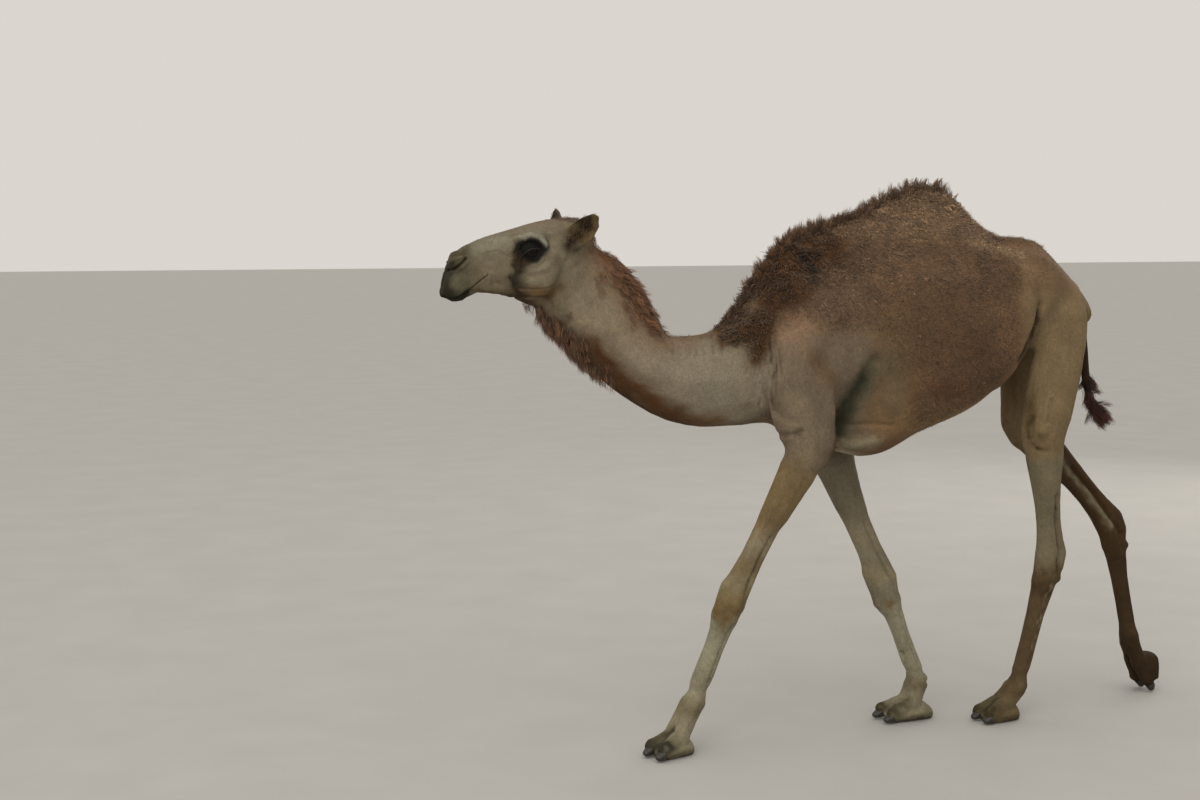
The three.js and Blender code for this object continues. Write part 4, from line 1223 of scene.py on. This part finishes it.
def stamp(name, shape, hair, finish):
    """Makes one piece from many tufts. hair holds, for each tuft, its root, bow and tip, the way across it,
    its half width, its flatness, its colours at root and tip, and its place on the flat pattern."""
    count = len(hair["root"])
    t = shape["t"][None, :, None]
    root, bow, tip = (hair[key][:, None, :] for key in ("root", "bow", "tip"))
    centre = (1 - t) ** 2 * root + 2 * t * (1 - t) * bow + t ** 2 * tip
    across = hair["across"]
    above = unit(np.cross(hair["tip"] - hair["root"], across))
    swell = ((1 - shape["t"]) ** 0.75 * (0.8 + 0.9 * shape["t"]))[None, :, None]
    if "wave" in hair:
        phase = hair["phase"][:, None, None] + t * hair["turns"][:, None, None]
        curve = np.sin(phase) * across[:, None] + 0.6 * np.cos(phase) * above[:, None]
        centre = centre + hair["wave"][:, None, None] * t * curve
    half = hair["width"][:, None, None] * swell
    points = centre + half * (shape["spoke"][None, :, :1] * across[:, None]
                              + shape["spoke"][None, :, 1:] * above[:, None] * hair["flat"])
    points = np.clip(points, np.array(cad_low) + HAIR_MARGIN, np.array(cad_high) - HAIR_MARGIN)
    # Each tuft runs from its root colour to its tip colour; a darker root is painted shade deep in the coat.
    shade = hair["dark"][:, None, :] * (1 - t ** 1.5) + hair["light"][:, None, :] * t ** 1.5
    corners = len(shape["t"])
    faces = (shape["faces"][None] + (np.arange(count) * corners)[:, None, None]).reshape(-1, 3)
    mesh = bpy.data.meshes.new(name)
    mesh.vertices.add(count * corners)
    mesh.vertices.foreach_set("co", points.astype(np.float32).ravel())
    mesh.loops.add(len(faces) * 3)
    mesh.loops.foreach_set("vertex_index", faces.astype(np.int32).ravel())
    mesh.polygons.add(len(faces))
    mesh.polygons.foreach_set("loop_start", np.arange(0, len(faces) * 3, 3, dtype=np.int32))
    mesh.update(calc_edges=True)
    places = hair["place"][:, None, :] + shape["pattern"][None]
    mesh.uv_layers.new(name="OFBake").uv.foreach_set("vector", places.astype(np.float32).ravel())
    layer = mesh.attributes.new("hair", "FLOAT_COLOR", "POINT")
    shade = np.concatenate([shade, np.ones((count, corners, 1))], 2)
    layer.data.foreach_set("color", shade.astype(np.float32).ravel())
    piece = placed(name, mesh, finish)
    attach(piece, "root")


def pick(known, mask):
    return {key: value[mask] for key, value in known.items()}


def scattered(spacing):
    """Evenly spread roots over the whole skin, a little out of line."""
    net = points_of(voxels(skin.mesh.copy(), spacing))
    return ask(net + rng.uniform(-0.5, 0.5, net.shape) * spacing)


def shaded(known, dark, light, vary):
    """The colours of each tuft at its root and tip. A darker root is painted shade deep in the coat."""
    tone = np.exp(rng.normal(size=(len(known["at"]), 1)) * vary)
    return known["colour"] * dark * tone, known["colour"] * light * tone


def brush(name, known, lift, width=0.7):
    """Hair that lies along the body: lift is how far it stands off, from 0 to 1."""
    size = known["length"][:, None] / 1000 * rng.uniform(0.75, 1.25, (len(known["at"]), 1))
    sway = rng.normal(size=known["at"].shape) * 0.22
    way = unit(known["flow"] * (1 - lift) + known["normal"] * lift + sway * 0.5)
    rise = np.sum(way * known["normal"], axis=1, keepdims=True)
    way = unit(way + known["normal"] * np.maximum(0.04 - rise, 0))
    root = known["at"] - known["normal"] * 0.0010
    bow = root + unit(known["normal"] * (0.25 + lift) + known["flow"]) * size * 0.5
    tip = root + way * size
    low, high = shaded(known, 0.98, 1.04, 0.07)
    hair = {"root": root, "bow": bow, "tip": tip, "across": unit(np.cross(tip - root, known["normal"])),
            "width": width / 1000 * rng.uniform(0.7, 1.3, len(root)), "flat": 0.3, "dark": low, "light": high,
            "place": unwrapped(root)}
    stamp(name, SPIKE, hair, FUR)


def is_kind(known, *names):
    return np.isin(known["kind"], kinds_of(*names))


FUR = wool("short_hair", 0.8, 0.05)
FLEECE = wool("fleece_wool", 0.9, 0.12)
LONG = wool("long_hair", 0.65, 0.08)

roots = scattered(ROOTS_NET)
dense = scattered(DENSE_NET)


def wool_share(known):
    """How woolly the coat is, blurred at the edge so that short and curly hair mingle."""
    chance = rng.uniform(0, 1, len(known["at"]))
    body = is_kind(known, *BODY)
    woolly = body & (known["curls"] + 0.8 * (chance - 0.5) + 0.10 * ripple(known["at"], 0.06, 8) > 0.5)
    return body, woolly, woolly & (known["cape"] > 0.25 + 0.2 * chance), chance


trunk_kinds, woolly, caped, chance = wool_share(roots)
smooth = trunk_kinds & ~woolly
lumpy = woolly & ~caped & ((roots["at"][:, 2] - 1.44) / 0.20 + 0.5 * ripple(roots["at"], 0.08, 3) > chance * 1.1)
caped &= chance < 0.7
_, fine_wool, dense_cape, _ = wool_share(dense)
fine_wool &= ~dense_cape


def knots_of(spacing):
    """The middles of the curls, a little out of line, and a finder for the nearest of them."""
    places = points_of(voxels(skin.mesh.copy(), spacing))
    places = places + rng.uniform(-0.45, 0.45, places.shape) * spacing
    finder = KDTree(len(places))
    for index, p in enumerate(places.tolist()):
        finder.insert(p, index)
    finder.balance()
    return places, finder


def lay_wool(name, known, shape, knots, gap_size, width, rise, pull, dark, light, vary, stray=0.22):
    """Woolly tufts that lean together in curls round their knots."""
    places, finder = knots
    nearest = np.array([finder.find(p)[1] for p in known["at"].tolist()])
    toward = places[nearest] - known["at"]
    toward -= known["normal"] * np.sum(toward * known["normal"], axis=1, keepdims=True)
    gap = np.clip(np.linalg.norm(toward, axis=1) / gap_size, 0, 1)
    tone = np.random.default_rng(5).normal(size=len(places))[nearest]
    twist = np.cross(known["normal"], toward) * np.sign(tone)[:, None]
    # Each tuft is painted lighter near its curl's knot and darker towards the gaps between curls: painted shade
    # between the curls, with a random tone per curl.
    known["colour"] = known["colour"] * np.exp(vary * 0.7 * tone)[:, None] * (1.16 - 0.36 * gap)[:, None]
    size = known["length"] * (1.15 - 0.4 * gap) / 1000 * rng.uniform(0.8, 1.2, len(gap))
    size = (size * (0.55 + 0.45 * np.clip(known["curls"] * 1.6 - 0.4, 0, 1)))[:, None]
    root = known["at"] - known["normal"] * 0.0015
    bow = root + (known["normal"] * 0.6 + known["flow"] * 0.1) * size + twist * 0.5
    tip = root + (known["normal"] * rise + known["flow"] * 0.5) * size + toward * pull + twist * 0.45
    tip += rng.normal(size=tip.shape) * size * stray
    low, high = shaded(known, dark, light, vary)
    hair = {"root": root, "bow": bow, "tip": tip, "across": unit(np.cross(tip - root, known["normal"])),
            "width": width / 1000 * rng.uniform(0.7, 1.3, len(root)), "flat": 0.6, "dark": low, "light": high,
            "place": unwrapped(root)}
    stamp(name, shape, hair, FLEECE)


small, middling, large = (knots_of(spacing) for spacing in (0.014, 0.024, 0.032))
left = dense["at"][:, 1] < 0
behind = dense["at"][:, 0] > BOX["barrel"][0].x + 0.26
for name, mask in (("coat_flank_left_front", left & ~behind), ("coat_flank_left_rear", left & behind),
                   ("coat_flank_right_front", ~left & ~behind), ("coat_flank_right_rear", ~left & behind)):
    lay_wool(name, pick(dense, fine_wool & mask), SPIKE, small, 0.010, 1.5, 0.50, 0.35, 0.66, 1.30, 0.32, 0.34)
lay_wool("coat_hump", pick(roots, lumpy), TUFT, middling, 0.018, 1.8, 0.50, 0.60, 0.72, 1.20, 0.28)
lay_wool("coat_cape", pick(roots, caped), CURL, large, 0.024, 1.8, 0.60, 0.60, 0.55, 1.22, 0.20)

in_neck = is_kind(roots, *NECK)
ahead = roots["at"][:, 0] < MID_TRUNK
brush("coat_neck", pick(roots, smooth & in_neck), 0.06, 0.6)
brush("coat_sides", pick(roots, smooth & ~in_neck & ahead), 0.08)
brush("coat_thighs", pick(roots, smooth & ~in_neck & ~ahead), 0.08)

flat_fur = scattered(LEG_HAIR_NET)
fore = is_kind(flat_fur, "forearm", "cannon", "foot") & (flat_fur["at"][:, 0] < MID_TRUNK)
sole = (flat_fur["at"][:, 2] < 0.008) & (flat_fur["normal"][:, 2] < -0.5)
brush("coat_forelegs", pick(flat_fur, fore & ~sole), 0.10, 0.6)
hind = is_kind(flat_fur, "shank", "cannon", "foot") & (flat_fur["at"][:, 0] > MID_TRUNK)
brush("coat_hindlegs", pick(flat_fur, hind & ~sole), 0.10, 0.6)

face_fur = scattered(FACE_HAIR_NET)
clear = is_kind(face_fur, "head", "jaw", "ear")
for side in SIDES:
    clear &= np.linalg.norm(face_fur["at"] - EYES[side], axis=1) > EYE_RADIUS + 0.004
brush("coat_head", pick(face_fur, clear), 0.08, 0.5)


# ---------------------------------------------------------------- long hair

def grow(name, places, count, spread, size, way, width, wave, hang, dark, light, tint, ends,
         bunch=9, gather=0.6, splay=0.16, ragged=0.65):
    """Long locks rooted round a route on the skin, in bunches that share a tip. spread, size and width are in
    millimetres, way is where they grow, and hang is how far they stand off first. dark and light shade the root
    and the tip, whose colours lean to tint and ends. gather draws a bunch to one point, splay turns the bunches
    apart, and ragged is the shortest one's share of the length."""
    bunches = max(count // bunch, 1)
    at = rng.uniform(0, 1, bunches) * (len(places) - 1)
    first = np.minimum(at.astype(int), len(places) - 2)
    base = places[first] + (places[first + 1] - places[first]) * (at - first)[:, None]
    middles = ask(base + rng.normal(size=base.shape) * spread / 1000)
    lengths = size * rng.uniform(ragged, 1.1, bunches)
    heading = unit(np.array(way) + middles["normal"] * hang + rng.normal(size=base.shape) * splay)
    mine = np.repeat(np.arange(bunches), bunch)
    known = ask(middles["at"][mine] + rng.normal(size=(len(mine), 3)) * 0.007)
    known["colour"] = known["colour"] * 0.35 + hex_colour(tint) * GAIN * 0.65
    root = known["at"] - known["normal"] * 0.002
    reach = lengths[mine, None] / 1000 * rng.uniform(0.7, 1.05, (len(mine), 1))
    own = root + unit(heading[mine] + rng.normal(size=root.shape) * 0.12) * reach
    tip = own * (1 - gather) + (middles["at"][mine] + heading[mine] * reach) * gather
    bow = root + unit(known["normal"] * (0.6 + hang) + heading[mine]) * reach * 0.5
    low, high = shaded(known, dark, light, 0.18)
    high = hex_colour(ends) * GAIN * (high / np.maximum(known["colour"] * light, 1e-6))
    high = high * np.exp(0.25 * rng.normal(size=(bunches, 1)))[mine]
    hair = {"root": root, "bow": bow, "tip": tip, "across": unit(np.cross(tip - root, known["normal"] + 0.01)),
            "width": width / 1000 * rng.uniform(0.6, 1.3, len(root)), "flat": 0.6, "dark": low, "light": high,
            "place": unwrapped(root), "wave": reach[:, 0] * wave, "phase": rng.uniform(0, 6.3, len(root)),
            "turns": rng.uniform(4, 8, len(root))}
    stamp(name, LOCK, hair, LONG)


crest = from_above("hump", 0.02, 0.10, 0.18, 0.26, 0.36, 0.46, 0.56, 0.66)
grow("hump_crest", crest, 2900, 17, 52, (0.22, 0, 0.7), 0.9, 0.06, 0.6, 0.6, 1.0,
     "4a3523", bunch=15, gather=0.85, ends="6a4f38", splay=0.22, ragged=0.4)
front_crest = from_above("chest", 0.05, 0.25, 0.45, 0.65, 0.9)
grow("withers_tufts", front_crest, 1700, 24, 40, (-0.05, 0, 0.6), 0.9, 0.07, 0.8, 0.55, 1.1,
     "432c18", bunch=13, gather=0.8, ends="6e4a2a", splay=0.22, ragged=0.5)
poll = from_above("head", 0.78, 0.86, 0.94)
grow("poll_tuft", poll, 1200, 18, 20, (0.9, 0, 0.05), 0.5, 0.08, 0.45, 0.85, 1.1,
     "6c5948", ends="7c6652")
grow("mane", NAPE_LINE, 4700, 44, 42, (0.45, 0, -0.75), 0.9, 0.06, 0.38, 0.85, 1.2,
     "6c482e", ends="805838", bunch=12, gather=0.65, splay=0.22, ragged=0.5)
neck_top = from_above("neck_lower", -0.9, -0.5, -0.1, 0.3)
grow("neck_fringe", neck_top, 700, 14, 14, (0.9, 0, 0.0), 0.5, 0.06, 0.5, 0.8, 1.1,
     "6a5540", ends="7d6248", bunch=6)
back = from_above("rump", -0.15, 0.1, 0.3, 0.5)
grow("back_fringe", back, 900, 18, 20, (0.9, 0, 0.0), 0.6, 0.06, 0.5, 0.8, 1.1,
     "5f4a32", ends="7a6046", bunch=7)
beard_line = route(list(from_below("jaw", 0.72, 0.9)) + list(THROAT))
grow("beard", beard_line, 3900, 25, 46, (0.30, 0, -0.85), 0.8, 0.06, 0.35, 0.85, 1.6,
     "402d1c", ends="7e5a40", bunch=14, gather=0.6, splay=0.2, ragged=0.45)
elbows = [body_line(side, named(side, "foreleg", "shoulder"), 0.66, 0.22, 0.72, 0.30) for side in SIDES]
for side, elbow in zip(("left", "right"), elbows):
    grow("elbow_tuft_" + side, elbow, 260, 9, 24, (0.5, 0, -0.8), 0.9, 0.08, 0.3, 0.6, 1.2,
         "4c3a22", ends="7c6340")
for node, opening in EAR_OPENING.items():
    tipward, over = unit(FLOW[node]), unit(opening)
    rim = np.array([middle(node) + tipward * up + over * 0.006 for up in (-0.045, -0.02, 0.01, 0.035)])
    grow("fringe_" + node, rim, 560, 13, 11, tipward + 0.25 * over, 0.45, 0.05, 0.3, 0.8, 1.1,
         "3a2c19", ends="75623f", bunch=5, gather=0.4, splay=0.1)
tail_line = route([share("tail_tuft", *place) for place in ((0.15, 1.05), (0.32, 0.78), (0.5, 0.55), (0.64, 0.36))])
grow("tail_hair", tail_line, 2600, 12, 74, (0.5, 0, -0.9), 1.0, 0.06, 0.22, 1.0, 1.6,
     "1d1209", bunch=24, gather=0.72, ends="5c2a1c", splay=0.30, ragged=0.45)


# ---------------------------------------------------------------- eyelashes

lash = np.repeat(np.linspace(-0.80, 0.82, 46), 2)
brink = np.clip(1 - (lash / 0.90) ** 2, 0, 1)
roots_of, tips_of = [], []
for side in SIDES:
    up = 0.38 * brink ** 0.8 + 0.08 * lash + 0.03
    ahead = np.sqrt(np.clip(1 - (lash * 0.98 + 0.22) ** 2 - (up + 0.10) ** 2, 0.02, 1))
    way = unit(NOSEWARD * (lash * 0.98 + 0.22)[:, None] + BROWWARD * (up + 0.10)[:, None]
               + np.array((0, side, 0)) * ahead[:, None])
    base = EYES[side] + way * (EYE_RADIUS + 0.0015)
    reach = rng.uniform(0.012, 0.019, (len(lash), 1))
    aim = unit(way * 0.9 + NOSEWARD * (lash * 0.35)[:, None] - BROWWARD * 0.75 + rng.normal(size=base.shape) * 0.12)
    roots_of.append(base)
    tips_of.append(base + aim * reach)
roots_of, tips_of = np.concatenate(roots_of), np.concatenate(tips_of)
black = np.tile(hex_colour("15110b"), (len(roots_of), 1))
outwards = np.stack([np.zeros(len(roots_of)), np.sign(roots_of[:, 1]), np.zeros(len(roots_of))], 1)
lashes = {"root": roots_of, "bow": (roots_of + tips_of) / 2 + outwards * 0.004, "tip": tips_of,
          "across": unit(np.cross(tips_of - roots_of, BROWWARD)), "width": np.full(len(roots_of), 0.0005),
          "flat": 0.7, "dark": black, "light": black * 1.5, "place": unwrapped(roots_of)}
stamp("eyelashes", TUFT, lashes, LONG)


# ---------------------------------------------------------------- the skin piece, the eyes and the nails

def thin(mesh, rounds):
    """Fewer faces in some places: each round has the share of all faces kept and the points that may go."""
    holder = linked("holder", mesh)
    for number, (kept, free) in enumerate(rounds):
        group = holder.vertex_groups.new(name=f"free_{number}")
        group.add(np.nonzero(free)[0].tolist(), 1.0, "REPLACE")
        change = holder.modifiers.new(f"thin_{number}", "DECIMATE")
        change.ratio = kept
        change.vertex_group = group.name
    return settled(holder)


on_head = in_front(skin.points) | on_feet(skin.points)
trunk = np.isin(kinds, kinds_of(*BODY)) & ~on_head
total = len(TRIANGLES)
on_trunk = trunk[TRIANGLES].all(1).sum()
first_kept = 1 - 0.87 * on_trunk / total
second_kept = SKIN_TRIANGLES / (first_kept * total)
final = thin(skin.mesh.copy(), [(first_kept, trunk), (second_kept, ~fine_parts(skin.points))])
known = ask(points_of(final))
move_points(final, np.clip(points_of(final), np.array(cad_low) + SKIN_MARGIN, np.array(cad_high) - SKIN_MARGIN))
# The skin's colour is painted darker where the curls cover it: painted shade under the wool.
shade = known["colour"] * (0.96 - 0.14 * np.clip(known["curls"], 0, 1))[:, None]
layer = final.attributes.new("coat", "FLOAT_COLOR", "POINT")
layer.data.foreach_set("color", np.column_stack([shade, np.ones(len(shade))]).astype(np.float32).ravel())
woolliness = final.attributes.new("curls", "FLOAT", "POINT")
woolliness.data.foreach_set("value", np.clip(known["curls"], 0, 1).astype(np.float32))
body_skin = placed("skin", final, short_fur())
final.polygons.foreach_set("use_smooth", np.ones(len(final.polygons), bool))
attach(body_skin, "root")
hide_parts(*FLESH)

EYE_FINISH = eyeball()
for side, node in ((LEFT, "eye_left"), (RIGHT, "eye_right")):
    ball = bmesh.new()
    bmesh.ops.create_uvsphere(ball, u_segments=48, v_segments=32, radius=EYE_RADIUS)
    turn = Vector((0, 0, 1)).rotation_difference(Vector(gaze(side))).to_matrix()
    rings = []
    for corner in ball.verts:
        flat = math.hypot(corner.co.x, corner.co.y) / EYE_RADIUS
        rings.append(flat if corner.co.z > 0 else 1.0)
        corner.co = turn @ corner.co + Vector(EYES[side])
    mesh = bpy.data.meshes.new(node + "_ball")
    ball.to_mesh(mesh)
    ball.free()
    mesh.polygons.foreach_set("use_smooth", np.ones(len(mesh.polygons), bool))
    mesh.attributes.new("iris", "FLOAT", "POINT").data.foreach_set("value", np.array(rings, np.float32))
    piece = placed(node + "_ball", mesh, EYE_FINISH)
    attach(piece, "root")
    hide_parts(node)

HORN = horn()
for node in NAILS:
    shape = copied(node)
    mesh = bpy.data.meshes.new(node + "_claw")
    shape.to_mesh(mesh)
    shape.free()
    mesh = voxels(mesh, 0.0016)
    centre = np.array(sum(BOX[node], Vector()) / 2)
    blunt = centre + (relax(points_of(mesh), links_of(mesh), 16) - centre) * (1.35, 1.6, 1.25)
    blunt += (0.0, 0, 0.004) if TOE_TIP_LEG in node else (0.009, 0, 0.001)
    move_points(mesh, np.clip(blunt, np.array(cad_low) + SKIN_MARGIN, np.array(cad_high) - SKIN_MARGIN))
    mesh.polygons.foreach_set("use_smooth", np.ones(len(mesh.polygons), bool))
    piece = placed(node + "_claw", mesh, HORN)
    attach(piece, "root")
    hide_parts(node)
